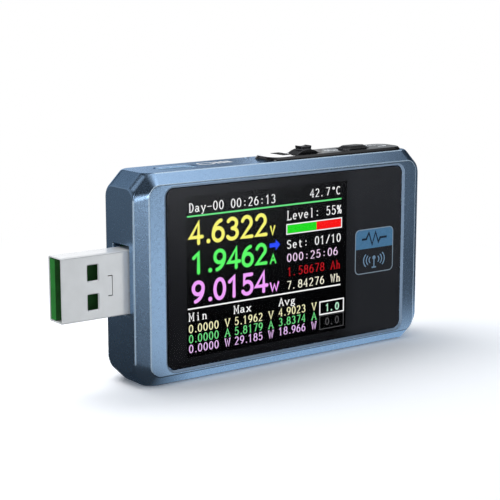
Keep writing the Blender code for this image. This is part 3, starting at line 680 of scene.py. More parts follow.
def face_edge_rings(side):
    """Rings that round the edge from the chamfer to the face; side is -1 at the front and 1 at the back."""
    start_share = chamfer_share(FACE_EDGE_START)
    rings = []
    for u in between(0.0, 1.0, 4)[1:]:
        rest = (1 - u) ** 2
        y = rest * FACE_EDGE_START + (1 - rest) * HALF_DEPTH
        rings.append(case_ring(side * y, rest * start_share + 1 - rest, u * u * FACE_EDGE))
    return rings


def front_shell():
    """The metal tub as one closed skin: outside, face, window recess, display opening and cavity."""
    rings = [case_ring(PARTING, inset=SEAM), case_ring(PARTING - SEAM)]
    reach = CHAMFER_START - EDGE_SOFT - FACET_FLAT_HALF_DEPTH
    flat_end = [FACET_FLAT_HALF_DEPTH + reach * math.sin(t) for t in between(0.0, math.pi / 2, 8)]
    rings += [case_ring(y) for y in reversed(flat_end)]
    rings += [case_ring(-y) for y in flat_end]
    rings += [case_ring(-y) for y in between(CHAMFER_START - EDGE_SOFT, CHAMFER_START + EDGE_SOFT, 5)[1:]]
    rings += [case_ring(-y) for y in between(CHAMFER_START + EDGE_SOFT, FACE_EDGE_START, 6)[1:]]
    rings += face_edge_rings(-1)
    recess = [(0.66, 0.0), (0.56, 0.015), (0.48, 0.06), (0.14, 0.32), (RECESS_SIDE_GAP, 0.4)]
    recess.append((RECESS_SIDE_GAP, RECESS_FLOOR - FRONT_Y))
    for grow, depth in recess:
        x, z = grown(GLASS_X, grow), grown(GLASS_Z, grow)
        rings.append(window_ring(FRONT_Y + depth, x, z, GLASS_RADIUS + grow))
    for y in (RECESS_FLOOR, FRONT_WALL_INNER):
        rings.append(window_ring(y, grown(PANEL_X, 0.2), grown(PANEL_Z, 0.2), 0.4))
    for y in (FRONT_WALL_INNER, PARTING):
        rings.append(window_ring(y, CAVITY_X, CAVITY_Z, CAVITY_RADIUS))
    return from_rings("case_shell", rings, closed=True)


def edge_kind(centre, normal):
    """The case's material at a face: 1 or 3 on the front chamfer's edges, 2 round the glass, 0 elsewhere; 1
    is a painted highlight, 3 painted shade and 2 the slope painted as lit.
    """
    depth = centre.y - FRONT_Y
    outside = max(GLASS_X[0] - centre.x, centre.x - GLASS_X[1], GLASS_Z[0] - centre.z, centre.z - GLASS_Z[1])
    by_the_glass = outside < 0.75
    # The slope round the glass takes a paler, less metallic tone that paints it as lit.
    if by_the_glass and 0.03 < depth < 0.34 and abs(normal.y) < 0.95:
        return 2
    corner = FACE_INSET_X + FACE_CORNER_RADIUS
    straight = abs(centre.x) < HALF_LENGTH - corner or abs(centre.z - HALF_HEIGHT) < HALF_HEIGHT - corner
    on_outer_edge = abs(centre.y + CHAMFER_START) < EDGE_SOFT and straight
    on_inner_edge = not by_the_glass and 0.0 < depth < 0.6 * FACE_EDGE and abs(normal.y) < 0.995
    if not (on_outer_edge or on_inner_edge):
        return 0
    # Edges that face down take painted shade, the others a painted highlight.
    faces_down = normal.z < -0.2
    return 3 if faces_down else 1


def rocker_room():
    """Cutter for the slot that the lever turns in."""
    outline = circle(LEVER_AXIS, ROCKER_RADIUS + 0.2, 72)
    ends = around(CONTROL_Y, ROCKER_HALF_WIDTH + 0.2)
    return from_rings("rocker_room", [raised(outline, "Y", y) for y in ends])


def stadium(u, v):
    """The outline of a USB-C mouth, as a function of how much it is grown."""
    radius = min(u[1] - u[0], v[1] - v[0]) / 2 - 0.02
    return rounded(u, v, radius, 8)


def open_case(shell):
    """Cuts the openings for the plug, sockets, reset pin and controls."""
    plug = rounded(PLUG_OPENING_Y, PLUG_OPENING_Z, 0.3)
    socket = rounded(grown(SOCKET_Y, GAP), grown(SOCKET_Z, GAP), 0.6)
    right_c = stadium(grown(RIGHT_C[1], GAP), grown(RIGHT_C[2], GAP))
    top_c = stadium(grown(TOP_C[0], GAP), grown(TOP_C[1], GAP))
    seat = rounded(grown(PLATE_X, 0.12), grown(PLATE_Y, 0.12), 2.82, 8)
    top = CASE_Z[1]
    tools = [
        pocket(plug, "X", CASE_X[0], 1, OPENING_DEPTH, 0.1),
        pocket(socket, "X", CASE_X[1], -1, OPENING_DEPTH, 0.15),
        pocket(right_c, "X", CASE_X[1], -1, OPENING_DEPTH, 0.15),
        pocket(top_c, "Z", top, -1, OPENING_DEPTH, 0.12),
        pocket(seat, "Z", top, -1, top - PLATE_Z[0] + 0.05, 0.05),
        pocket(circle_grown(PINHOLE, 0.6, 24), "Z", top, -1, OPENING_DEPTH, 0.15),
        rocker_room(),
        pocket(lambda grow: button_outline(GAP + grow), "Z", top, -1, OPENING_DEPTH, 0.05),
    ]
    return cut(shell, *tools)


def screw_place(number):
    """A cover screw's centre as x and z, its ends along y, and its radius."""
    x, y, z = spans(f"cover_screw_{number}")
    return (middle(x), middle(z)), y, (x[1] - x[0]) / 2


def screw_posts():
    """Four tubular posts that the cover screws bite into."""
    posts = []
    for number in range(1, 5):
        outline = circle_grown(screw_place(number)[0], 2.0, 28)
        posts.append(tube("post", outline, "Y", (FRONT_WALL_INNER - 0.1, 3.7), 1.0, 5))
    posts[0].name = "case_posts"
    return join(*posts)


def cover_shell():
    """The back cover: chamfered plate with a lip that enters the tub."""
    start, skin_inside = PARTING + 0.05, 5.4
    rings = [case_ring(start, inset=SEAM), case_ring(start + SEAM)]
    rings += [case_ring(y) for y in between(start + EDGE_SOFT, FACE_EDGE_START, 6)]
    rings += face_edge_rings(1)
    skin = from_rings("cover_shell", list(reversed(rings)))
    lip_x, lip_z = grown(CAVITY_X, -0.3), grown(CAVITY_Z, -0.3)
    lip = from_rings("lip", [raised(rectangle(lip_x, lip_z, 3.1), "Y", y) for y in (COVER_Y[0], start + 0.4)])
    hollow = rectangle(grown(lip_x, -1), grown(lip_z, -1), 2.1)
    tools = [from_rings("hollow", [raised(hollow, "Y", y) for y in (COVER_Y[0] - 1, skin_inside)])]
    for number in range(1, 5):
        centre, ends, radius = screw_place(number)
        well = circle_grown(centre, radius + 0.2, 48)
        tools.append(pocket(well, "Y", HALF_DEPTH, -1, 0.9, 0.18))
    return cut(fuse(skin, lip), *tools)


def cover_screw(number, material):
    """A pan-head machine screw with a cross recess, on the CAD screw's place."""
    centre, (tip, top), radius = screw_place(number)
    shank, head_start, rim = 0.8, top - 0.7, 0.28
    profile = [(tip, 0.45), (tip + 0.4, shank), (head_start, shank), (head_start, radius - 0.05)]
    profile += [(head_start + 0.06, radius), (top - rim, radius)]
    for turn in between(0.0, math.pi / 2, 5)[1:]:
        profile.append((top - rim + rim * math.sin(turn), radius - 1.4 * rim * (1 - math.cos(turn))))
    screw = from_rings(f"screw_{number}", [raised(circle(centre, r, 48), "Y", level) for level, r in profile])
    slots = []
    for along, across in ((1.15, 0.2), (0.2, 1.15)):
        rings = []
        for level, grow in ((top + 0.1, 0.06), (top - 0.25, 0.0), (top - 0.5, -0.14)):
            arm_x, arm_z = around(centre[0], along + grow), around(centre[1], across + grow)
            rings.append(raised(rectangle(arm_x, arm_z), "Y", level))
        slots.append(from_rings("slot", rings))
    cut(screw, *slots)
    turned = Matrix.Rotation(math.radians(23 * number), 4, "Y")
    pivot = Matrix.Translation(Vector((centre[0], 0, centre[1])) * MM)
    screw.data.transform(pivot @ turned @ pivot.inverted())
    return fit_out(screw, material, f"cover_screw_{number}")


# ---------------------------------------------------------------- connectors

def plug_shell():
    shell = tube("plug_shell_visual", rounded(PLUG_Y, PLUG_Z, 0.32), "X", PLUG_X, 0.3)
    tools = seam_groove()
    for side in (-1, 1):
        z = around(middle(PLUG_Z) + LATCH_HOLE_APART * side, LATCH_HOLE_HALF)
        hole = rounded(LATCH_HOLE_X, z, 0.15, 3)
        tools.append(pocket(hole, "Y", PLUG_Y[0], 1, 0.6, 0.2))
        tools.append(pocket(hole, "Y", PLUG_Y[1], -1, 0.6, 0.14))
    return cut(shell, *tools)


def seam_groove():
    """Cutters for the stamped lock in the sheet: a thin groove shaped like a bracket."""
    x, width = SEAM_GROOVE_X, SEAM_GROOVE_WIDTH
    z = around(middle(PLUG_Z) - 0.08, SEAM_GROOVE_HALF_HEIGHT)
    y = (PLUG_Y[0] - 0.2, PLUG_Y[0] + 0.45)
    return [
        block("groove", (x[1] - width, x[1]), y, z),
        block("groove", x, y, (z[0], z[0] + width)),
        block("groove", x, y, (z[1] - width, z[1])),
    ]


def insulator_piece():
    """The plug's insulator, with a bridge over the contacts behind the latch holes."""
    insulator = copy_with_soft_edges("plug_insulator", 0.08)
    bridge = rounded(grown(LATCH_HOLE_X, 1.1), grown(PLUG_Z, -0.5), 0.3, 3)
    return join(insulator, pillow("bridge", bridge, "Y", BRIDGE_Y, 0.05))


def socket_shell():
    shell = tube("usb_a_socket_visual", rounded(SOCKET_Y, SOCKET_Z, 0.6), "X", SOCKET_X, 0.35)
    tools = []
    for side in (-1, 1):
        z = around(middle(SOCKET_Z) + 3.0 * side, 0.9)
        spring = rounded((SOCKET_X[0] + 3.5, SOCKET_X[0] + 9.5), z, 0.2, 3)
        tools.append(pocket(spring, "Y", SOCKET_Y[0], 1, 0.7, 0.05))
    return cut(shell, *tools)


def copy_with_soft_edges(node, width):
    """A copy of a CAD node with rounded edges."""
    bm = bmesh.new()
    bm.from_mesh(frame["nodes"][node].data)
    bmesh.ops.remove_doubles(bm, verts=bm.verts, dist=1e-7)
    bmesh.ops.dissolve_limit(bm, angle_limit=math.radians(1), verts=bm.verts, edges=bm.edges)
    mesh = bpy.data.meshes.new(node + "_visual")
    bm.to_mesh(mesh)
    bm.free()
    return soften(new_object(node + "_visual", mesh), width, 2)


# ---------------------------------------------------------------- window and display

def window_print(material):
    """The black printed border behind the glass, open over the display."""
    outer_x, outer_z = grown(GLASS_X, -0.06), grown(GLASS_Z, -0.06)
    back = GLASS_Y[1]
    rings = []
    for y, x, z, radius in (
        (PRINT_Y, outer_x, outer_z, GLASS_RADIUS), (back, outer_x, outer_z, GLASS_RADIUS),
        (back, SCREEN_X, SCREEN_Z, 0.15), (PRINT_Y, SCREEN_X, SCREEN_Z, 0.15),
    ):
        rings.append(raised(rectangle(x, z, radius, 8), "Y", y))
    return fit_out(from_rings("window_print", rings, closed=True), material, weighted=False)


def arc(cx, cy, rx, ry, start, end, steps=12):
    """Points on an ellipse from start to end, in degrees counter-clockwise from the right."""
    turns = [math.radians(a) for a in between(start, end, steps)]
    return [(cx + rx * math.cos(t), cy + ry * math.sin(t)) for t in turns]


def loop(cx, cy, rx, ry):
    return arc(cx, cy, rx, ry, 0, 360, 20)


# Characters as pen strokes in a cell one wide and one high. A stroke with one point is a dot.
STROKES = {
    "0": [loop(0.5, 0.5, 0.4, 0.5)],
    "1": [[(0.14, 0.78), (0.52, 1.0), (0.52, 0.0)]],
    "2": [arc(0.47, 0.71, 0.37, 0.29, 160, -28) + [(0.1, 0.0), (0.9, 0.0)]],
    "3": [arc(0.45, 0.76, 0.36, 0.24, 150, -90), arc(0.45, 0.26, 0.42, 0.26, 90, -150)],
    "4": [[(0.7, 0.0), (0.7, 1.0), (0.04, 0.3), (0.98, 0.3)]],
    "5": [[(0.84, 1.0), (0.24, 1.0), (0.18, 0.56)] + arc(0.45, 0.32, 0.42, 0.32, 128, -150)],
    "6": [loop(0.5, 0.31, 0.4, 0.31), arc(0.86, 0.31, 0.76, 0.68, 180, 100)],
    "7": [[(0.08, 1.0), (0.92, 1.0), (0.4, 0.0)]],
    "8": [loop(0.5, 0.76, 0.34, 0.24), loop(0.5, 0.26, 0.42, 0.26)],
    "9": [loop(0.5, 0.69, 0.4, 0.31), arc(0.14, 0.69, 0.76, 0.68, 0, -80)],
    ".": [[(0.3, 0.04)]],
    ":": [[(0.5, 0.14)], [(0.5, 0.62)]],
    "-": [[(0.02, 0.46), (0.98, 0.46)]],
    "/": [[(0.12, -0.04), (0.88, 1.04)]],
    "%": [loop(0.2, 0.76, 0.17, 0.22), loop(0.8, 0.24, 0.17, 0.22), [(0.84, 1.0), (0.16, 0.0)]],
    "'": [loop(0.62, 0.86, 0.2, 0.13)],
    "A": [[(0.04, 0.0), (0.5, 1.0), (0.96, 0.0)], [(0.2, 0.36), (0.8, 0.36)]],
    "C": [arc(0.56, 0.5, 0.46, 0.5, 45, 315)],
    "D": [[(0.04, 1.0)] + arc(0.4, 0.5, 0.5, 0.5, 90, -90) + [(0.04, 0.0)], [(0.2, 0.0), (0.2, 1.0)]],
    "L": [[(0.22, 1.0), (0.22, 0.0), (0.92, 0.0), (0.92, 0.2)]],
    "M": [[(0.1, 0.0), (0.1, 1.0), (0.5, 0.3), (0.9, 1.0), (0.9, 0.0)]],
    "S": [arc(0.48, 0.76, 0.36, 0.24, 25, 270) + arc(0.48, 0.26, 0.4, 0.26, 90, -155)],
    "V": [[(0.06, 1.0), (0.5, 0.0), (0.94, 1.0)]],
    "W": [[(0.02, 1.0), (0.27, 0.0), (0.5, 0.8), (0.73, 0.0), (0.98, 1.0)]],
    "a": [arc(0.42, 0.44, 0.32, 0.2, 150, 0) + [(0.74, 0.1), (0.96, 0.02)], loop(0.4, 0.18, 0.3, 0.18)],
    "e": [[(0.14, 0.34), (0.86, 0.34)] + arc(0.5, 0.32, 0.36, 0.32, 8, 315)],
    "g": [loop(0.44, 0.42, 0.28, 0.2), loop(0.48, -0.1, 0.4, 0.16), [(0.62, 0.58), (0.94, 0.64)],
          [(0.28, 0.26), (0.2, 0.14), (0.34, 0.05)]],
    "h": [[(0.04, 1.0), (0.2, 1.0), (0.2, 0.0)], arc(0.49, 0.36, 0.29, 0.27, 180, 0) + [(0.78, 0.0)]],
    "i": [[(0.28, 0.62), (0.52, 0.62), (0.52, 0.0)], [(0.5, 0.9)]],
    "l": [[(0.28, 1.0), (0.52, 1.0), (0.52, 0.0)]],
    "n": [[(0.04, 0.62), (0.2, 0.62), (0.2, 0.0)], arc(0.49, 0.36, 0.29, 0.27, 180, 0) + [(0.78, 0.0)]],
    "t": [[(0.42, 0.88)] + arc(0.66, 0.18, 0.24, 0.18, 180, 320, 6), [(0.12, 0.62), (0.86, 0.62)]],
    "v": [[(0.08, 0.62), (0.5, 0.0), (0.92, 0.62)]],
    "x": [[(0.12, 0.62), (0.86, 0.0)], [(0.86, 0.62), (0.12, 0.0)]],
    "y": [[(0.1, 0.62), (0.52, 0.02)], [(0.92, 0.62), (0.34, -0.26), (0.08, -0.26)]],
    " ": [],
}

# Where each character's serifs stand, as centres of short level strokes.
SERIFS = {
    "1": [(0.52, 0.0)], "4": [(0.7, 0.0)], "A": [(0.06, 0.0), (0.94, 0.0)], "L": [(0.22, 1.0), (0.14, 0.0)],
    "M": [(0.1, 0.0), (0.9, 0.0), (0.06, 1.0), (0.94, 1.0)], "V": [(0.1, 1.0), (0.9, 1.0)],
    "W": [(0.06, 1.0), (0.94, 1.0)], "h": [(0.2, 0.0), (0.78, 0.0)], "i": [(0.52, 0.0)], "l": [(0.52, 0.0)],
    "n": [(0.2, 0.0), (0.78, 0.0)], "v": [(0.1, 0.62), (0.9, 0.62)], "y": [(0.1, 0.62), (0.9, 0.62)],
    "x": [(0.14, 0.62), (0.84, 0.62), (0.14, 0.0), (0.84, 0.0)],
}
SERIF_HALF = 0.17
NARROW_CHARACTERS = ".:"
DOT_SIZE = 1.25
SHARPEST_TURN = 0.6


class Print:
    """Thin marks of one colour in one mesh; place(u, v, lift) puts a flat point on the surface."""

    def __init__(self, name, place):
        self.name = name
        self.place = place
        self.bm = bmesh.new()

    def solid(self, first, second, closed):
        """A ribbon between two lines of points, with thickness."""
        rows = []
        for lift in (INK_THICKNESS, 0.0):
            for line in (first, second):
                rows.append([self.bm.verts.new(self.place(u, v, lift) * MM) for u, v in line])
        count = len(first)
        order = (rows[0], rows[1], rows[3], rows[2])
        for k in range(count if closed else count - 1):
            after = (k + 1) % count
            for a, b in zip(order, order[1:] + order[:1]):
                self.bm.faces.new((a[k], a[after], b[after], b[k]))
        if not closed:
            self.bm.faces.new([row[0] for row in order])
            self.bm.faces.new([row[-1] for row in reversed(order)])

    def plate(self, outline):
        """A filled outline."""
        top = [self.bm.verts.new(self.place(u, v, INK_THICKNESS) * MM) for u, v in outline]
        base = [self.bm.verts.new(self.place(u, v, 0.0) * MM) for u, v in outline]
        self.bm.faces.new(top)
        self.bm.faces.new(list(reversed(base)))
        for k in range(len(outline)):
            after = (k + 1) % len(outline)
            self.bm.faces.new((top[k], base[k], base[after], top[after]))

    def stroke(self, points, thin, thick=None, round_ends=False):
        """A pen line: level parts are thin, upright parts thick (half widths)."""
        thick = thin if thick is None else thick
        if len(points) == 1:
            self.plate(circle(points[0], DOT_SIZE * thick, 14))
            return
        closed = (Vector(points[0]) - Vector(points[-1])).length < 1e-6
        line = [Vector(p) for p in (points[:-1] if closed else points)]
        first, second = [], []
        for i, here in enumerate(line):
            ahead = line[(i + 1) % len(line)] - here if closed or i < len(line) - 1 else None
            back = here - line[i - 1] if closed or i > 0 else None
            runs = [d.normalized() for d in (back, ahead) if d is not None]
            normals = [Vector((-d.y, d.x)) for d in runs]
            normal = sum(normals, Vector((0.0, 0.0))).normalized()
            upright = sum(abs(d.y) for d in runs) / len(runs)
            half = thin + (thick - thin) * upright
            half = half / max(normal.dot(normals[0]), SHARPEST_TURN)
            first.append(tuple(here + normal * half))
            second.append(tuple(here - normal * half))
        self.solid(first, second, closed)
        if round_ends and not closed:
            for end in (points[0], points[-1]):
                self.plate(circle(end, thick, 14))

    def text(self, words, x, z, pen, fill=0.76, serifs=True, narrow=1.0):
        """words that fill the space between two x and two z."""
        thin, thick = pen
        x, z = grown(x, -thick), grown(z, -thin)
        cells = [narrow if c in NARROW_CHARACTERS else 1.0 for c in words]
        pitch = (x[1] - x[0]) / (sum(cells) - (1 - fill))
        width, height = pitch * fill, z[1] - z[0]
        left = x[0]
        for character, cell in zip(words, cells):
            def at(p):
                return (left + p[0] * width, z[0] + p[1] * height)
            for points in STROKES[character]:
                self.stroke([at(p) for p in points], thin, thick, round_ends=not serifs)
            for u, v in SERIFS.get(character, []) if serifs else []:
                self.stroke([at((u - SERIF_HALF, v)), at((u + SERIF_HALF, v))], thin)
            left += pitch * cell

    def frame(self, x, z, half, radius=0.0):
        """A rectangular outline."""
        first = rectangle(grown(x, half), grown(z, half), radius + half if radius else 0.0)
        second = rectangle(grown(x, -half), grown(z, -half), max(radius - half, 0.01) if radius else 0.0)
        self.solid(first, second, True)

    def finish(self, material, slot):
        """Makes the marks into a piece."""
        bmesh.ops.recalc_face_normals(self.bm, faces=self.bm.faces)
        mesh = bpy.data.meshes.new(self.name)
        self.bm.to_mesh(mesh)
        self.bm.free()
        return fit_out(new_object(self.name, mesh), material, weighted=False)

    def light_up(self, colour):
        """Finishes marks on the display as lit pixels of an sRGB colour."""
        return self.finish(lit_ink(self.name.replace("screen", "lit"), linear(colour)), "display_panel")


def on_screen(u, v, lift):
    return Vector((u, PRINT_Y - INK_LIFT - lift, v))


def over_ink(u, v, lift):
    """On top of ink that is already on the screen's plane."""
    return on_screen(u, v, lift + INK_THICKNESS)


HEADING_Z = (11.65, 13.25)
CHARGE_BAR_X = (-0.85, 12.87)
CHARGE_BAR_Z = (25.95, 27.55)
CHARGE_BAR_SPLIT = 6.52
ARROW_X = (-5.23, -3.75, -2.62)
ARROW_Z = 24.02
BUTTON_BOX_X = (7.55, 13.77)
TABLE_TEXT_HEIGHT = 1.6
TABLE_UNIT_WIDTH = 1.4

# The display's words by colour: name, sRGB colour, then words, x, z and style of each line.
SCREEN_WORDS = (
    ("yellow", "fbf672", (
        ("4.6322", (-24.3, -5.47), (26.0, 30.6), BIG),
        ("V", (-5.23, -3.76), (26.0, 27.95), UNIT),
    )),
    ("green", "5cf868", (
        ("1.9462", (-23.8, -5.46), (20.4, 24.8), BIG),
        ("A", (-5.22, -3.5), (20.34, 22.33), UNIT),
    )),
    ("violet", "f3a4fd", (
        ("9.0154", (-23.85, -5.45), (14.85, 19.3), BIG),
        ("W", (-5.21, -2.81), (14.8, 16.76), UNIT),
    )),
    ("white", "ffffff", (
        ("Day-00 00:26:13", (-24.16, -3.71), (32.25, 34.0), SMALL),
        ("42.7'C", (4.69, 12.68), (32.5, 34.15), SMALL),
        ("Level: 55%", (-1.06, 13.0), (28.55, 30.4), SMALL),
        ("Set: 01/10", (-1.03, 12.93), (22.88, 24.6), SMALL),
        ("Min", (-24.34, -19.99), HEADING_Z, SMALL),
        ("Max", (-13.9, -9.6), HEADING_Z, SMALL),
        ("Avg", (-2.97, 1.29), HEADING_Z, SMALL),
    )),
    ("timer", "fbdcfd", (("000:25:06", (-1.02, 12.18), (20.25, 21.9), SMALL),)),
    ("charge", "b8141c", (("1.58678 Ah", (-0.88, 12.88), (17.42, 19.15), SMALL),)),
    ("energy", "fffbe4", (("7.84276 Wh", (-1.0, 12.92), (14.75, 16.4), SMALL),)),
    ("limit", "b4e6c8", (("1.0", (8.9, 12.7), (8.95, 10.5), LIMIT),)),
    ("idle", "4a4a4c", (("0.0", (8.9, 12.7), (6.1, 7.65), IDLE),)),
)

# The table at the bottom: name, sRGB colour, unit, values and base line of each row.
TABLE_ROWS = (
    ("table_volts", "fbf7c4", "V", ("0.0000", "5.1962", "4.9023"), 9.4),
    ("table_amps", "72e488", "A", ("0.0000", "5.8179", "3.8374"), 7.45),
    ("table_watts", "ecc2f8", "W", ("0.0000", "29.185", "18.966"), 5.55),
)
# Its columns: start and end of the value, start of the unit, and how much higher than the first they stand.
TABLE_COLUMNS = ((-24.38, -17.33, -16.04, 0.0), (-13.72, -6.8, -5.54, 0.0), (-3.02, 3.93, 5.35, 0.2))


def display_picture():
    """The readings on the display, one piece for each colour."""
    inks = {}

    def ink(name):
        if name not in inks:
            inks[name] = Print("screen_" + name, on_screen)
        return inks[name]

    for name, _, lines in SCREEN_WORDS:
        for words, x, z, style in lines:
            ink(name).text(words, x, z, **style)
    ink("white").stroke([(-24.47, 14.04), (12.89, 14.04)], 0.13)
    ink("white").frame(grown(CHARGE_BAR_X, 0.15), grown(CHARGE_BAR_Z, 0.15), 0.1)
    ink("white").frame(BUTTON_BOX_X, (8.5, 11.1), 0.12)
    ink("idle").frame(BUTTON_BOX_X, (5.45, 8.2), 0.08)
    for name, colour, _ in SCREEN_WORDS:
        ink(name).light_up(colour)

    for name, colour, unit, values, base in TABLE_ROWS:
        for value, (start, end, unit_start, lift) in zip(values, TABLE_COLUMNS):
            z = (base + lift, base + lift + TABLE_TEXT_HEIGHT)
            ink(name).text(value, (start, end), z, narrow=0.6, **SMALL)
            ink(name).text(unit, (unit_start, unit_start + TABLE_UNIT_WIDTH), z, fill=1.0, **SMALL)
        ink(name).light_up(colour)

    ink("rule").stroke([(-24.5, 31.55), (12.9, 31.6)], 0.15)
    ink("rule").light_up("6ae886")
    tail, neck, tip = ARROW_X
    half_shaft, half_head = 0.42, 1.05
    upper = [(tip, 0.0), (neck, half_head), (neck, half_shaft), (tail, half_shaft)]
    lower = [(x, -z) for x, z in reversed(upper[1:])]
    ink("arrow").plate([(x, ARROW_Z + z) for x, z in lower + upper])
    ink("arrow").light_up("2a4bff")
    ink("bar_on").plate(rectangle((CHARGE_BAR_X[0], CHARGE_BAR_SPLIT), CHARGE_BAR_Z))
    ink("bar_on").light_up("1fdc1f")
    ink("bar_off").plate(rectangle((CHARGE_BAR_SPLIT, CHARGE_BAR_X[1]), CHARGE_BAR_Z))
    ink("bar_off").light_up("fb1212")


def badge():
    """A plain two-part badge printed beside the display: a pulse line above, signal arcs below."""
    x, z, divider, corner = (16.8, 27.0), (15.5, 24.6), 20.6, 1.0
    centre = middle(x)
    panel = Print("badge_panel", on_screen)
    top = [(x[0], divider), (x[1], divider)]
    top += arc(x[1] - corner, z[1] - corner, corner, corner, 0, 90, 6)
    top += arc(x[0] + corner, z[1] - corner, corner, corner, 90, 180, 6)
    panel.plate(top)
    panel.finish(flat_ink("badge_blue", linear("5b93bd")), "gloss_black")

    outline = Print("badge_outline", over_ink)
    outline.frame(x, z, 0.09, corner)
    outline.finish(flat_ink("badge_pale", linear("a9bccb")), "gloss_black")

    icon = Print("badge_icon", on_screen)
    hub, foot = middle((z[0], divider)) + 0.1, middle((z[0], divider)) - 1.5
    icon.plate(circle((centre, hub + 0.4), 0.42, 20))
    icon.stroke([(centre, hub + 0.3), (centre, foot)], 0.14)
    icon.stroke([(centre - 0.6, foot), (centre + 0.6, foot)], 0.14)
    for reach in (1.35, 2.1, 2.85):
        for facing in (0, 180):
            icon.stroke(arc(centre, hub, reach, 0.725 * reach, facing - 38, facing + 38, 8), 0.12)
    icon.finish(flat_ink("badge_icon_blue", linear("8fb4d2")), "gloss_black")

    pulse = Print("badge_pulse", over_ink)
    level = middle((divider, z[1]))
    wave = [(-3.4, 0), (-2.2, 0), (-1.5, 1.25), (-0.6, -1.25), (0.3, 1.25), (1.1, -0.9), (1.6, 0), (3.4, 0)]
    pulse.stroke([(centre + u, level + v) for u, v in wave], 0.22)
    pulse.finish(flat_ink("badge_dark", linear("16283c")), "gloss_black")


# ---------------------------------------------------------------- controls

def lever_piece():
    """The rocker: a disc with a dished thumb pad, edges rounded."""
    half_pad, neck, foot, lip, dish = 1.3, 1.05, 4.3, 0.3, 0.2
    pad_top = LEVER_Z[1] - LEVER_AXIS[1]
    start = math.asin((LEVER_Z[0] - LEVER_AXIS[1]) / ROCKER_RADIUS)
    turns = between(start, math.pi - start, 72)
    disc = [(ROCKER_RADIUS * math.cos(turn), ROCKER_RADIUS * math.sin(turn)) for turn in turns]
    pad = [(-half_pad, pad_top - lip), (-neck, foot), (neck, foot), (half_pad, pad_top - lip)]
    pad += [(half_pad * share, pad_top - dish * (1 - share**2)) for share in between(1.0, -1.0, 16)]
    solids = []
    for name, outline, half_width in (("lever_rocker_visual", disc, ROCKER_HALF_WIDTH), ("pad", pad, 1.05)):
        placed = [(LEVER_AXIS[0] + u, LEVER_AXIS[1] + v) for u, v in outline]
        solids.append(from_rings(name, [raised(placed, "Y", y) for y in around(CONTROL_Y, half_width)]))
    bore = from_rings("bore", [raised(circle(LEVER_AXIS, 0.67, 28), "Y", y) for y in grown(LEVER_Y, 1)])
    return soften(cut(fuse(*solids), bore), 0.13, 3)


def button_piece():
    """The push button: a chamfered cap on its flange and stem."""
    top, shoulder, foot = BUTTON_Z[1], BUTTON_Z[1] - 0.45, 38.0
    levels = [(foot, 0.0), (shoulder - 0.08, 0.0), (shoulder - 0.02, -0.03), (shoulder + 0.05, -0.1)]
    levels += [(top - 0.06, -0.58), (top - 0.015, -0.66), (top, -0.76)]
    rings = [raised(button_outline(grow), "Z", level) for level, grow in levels]
    cap = from_rings("back_button_visual", rings)
    flange_outline = rounded(BUTTON_X, around(CONTROL_Y, 1.75), 0.3)
    flange = pillow("flange", flange_outline, "Z", (foot - 0.6, foot + 0.1), 0.05)
    stem_outline = circle_grown((middle(BUTTON_X), CONTROL_Y), 1.3, 32)
    stem = pillow("stem", stem_outline, "Z", (BUTTON_Z[0], foot - 0.5), 0.05)
    return join(cap, flange, stem)


def plate_piece():
    """The gloss plate, bevelled all round, with openings for the lever and the button."""
    outline = rounded(PLATE_X, PLATE_Y, 2.7, 10)
    bevel, top = 0.4, PLATE_Z[1]
    levels = [(PLATE_Z[0], 0.0), (top - bevel - 0.05, 0.0), (top - bevel + 0.02, -0.03)]
    levels += [(top - 0.04, -bevel + 0.02), (top, -bevel - 0.06)]
    plate = from_rings("control_plate_visual", [raised(outline(grow), "Z", level) for level, grow in levels])
    button_hole = pocket(lambda grow: button_outline(GAP + grow), "Z", top, -1, 2.0, 0.08)
    return cut(plate, rocker_room(), button_hole)


def on_case_top(u, v, lift):
    return Vector((u, v, CASE_Z[1] + lift))


def on_plate(u, v, lift):
    return Vector((u, v, PLATE_Z[1] + lift))


def top_marks(ink):
    """Small printed pictures on the top face and the control plate, and a matt black band on the plate that
    paints the shade beside the lever.
    """
    port = Print("port_marks", on_case_top)
    port.frame((-16.6, -13.6), (-0.2, 2.0), 0.22, 0.5)
    for x in (-12.9, -11.6, -10.3):
        port.plate(rectangle((x, x + 0.9), (-0.2, 2.0)))
    port.finish(ink, "case_metal")

    marks = Print("control_marks", on_plate)
    dial, half = (14.6, -1.0), 0.9
    for side in (-1, 1):
        tip, base = dial[0] + 1.9 * side, dial[0] + 1.0 * side
        marks.plate([(tip, dial[1]), (base, dial[1] - half), (base, dial[1] + half)])
    marks.stroke(loop(*dial, 0.6, 0.8), 0.16)
    marks.stroke([(26.0, 0.9), (28.6, 0.9), (29.2, 0.3), (29.2, -1.0), (28.6, -1.6), (26.8, -1.6)], 0.2)
    marks.plate([(25.2, 0.9), (26.4, 0.1), (26.4, 1.7)])
    marks.finish(ink, "gloss_black")

    # A matt black band by the lever: painted shade on the gloss plate.
    lever_shade = Print("plate_lever_shade", on_plate)
    lever_shade.plate(rectangle((1.6, 4.0), (-1.7, PLATE_Y[1] - 0.45), 0.3))
    lever_shade.finish(flat_ink("painted_shade_ink", (0.006, 0.006, 0.007)), "gloss_black")


# ---------------------------------------------------------------- putting it together

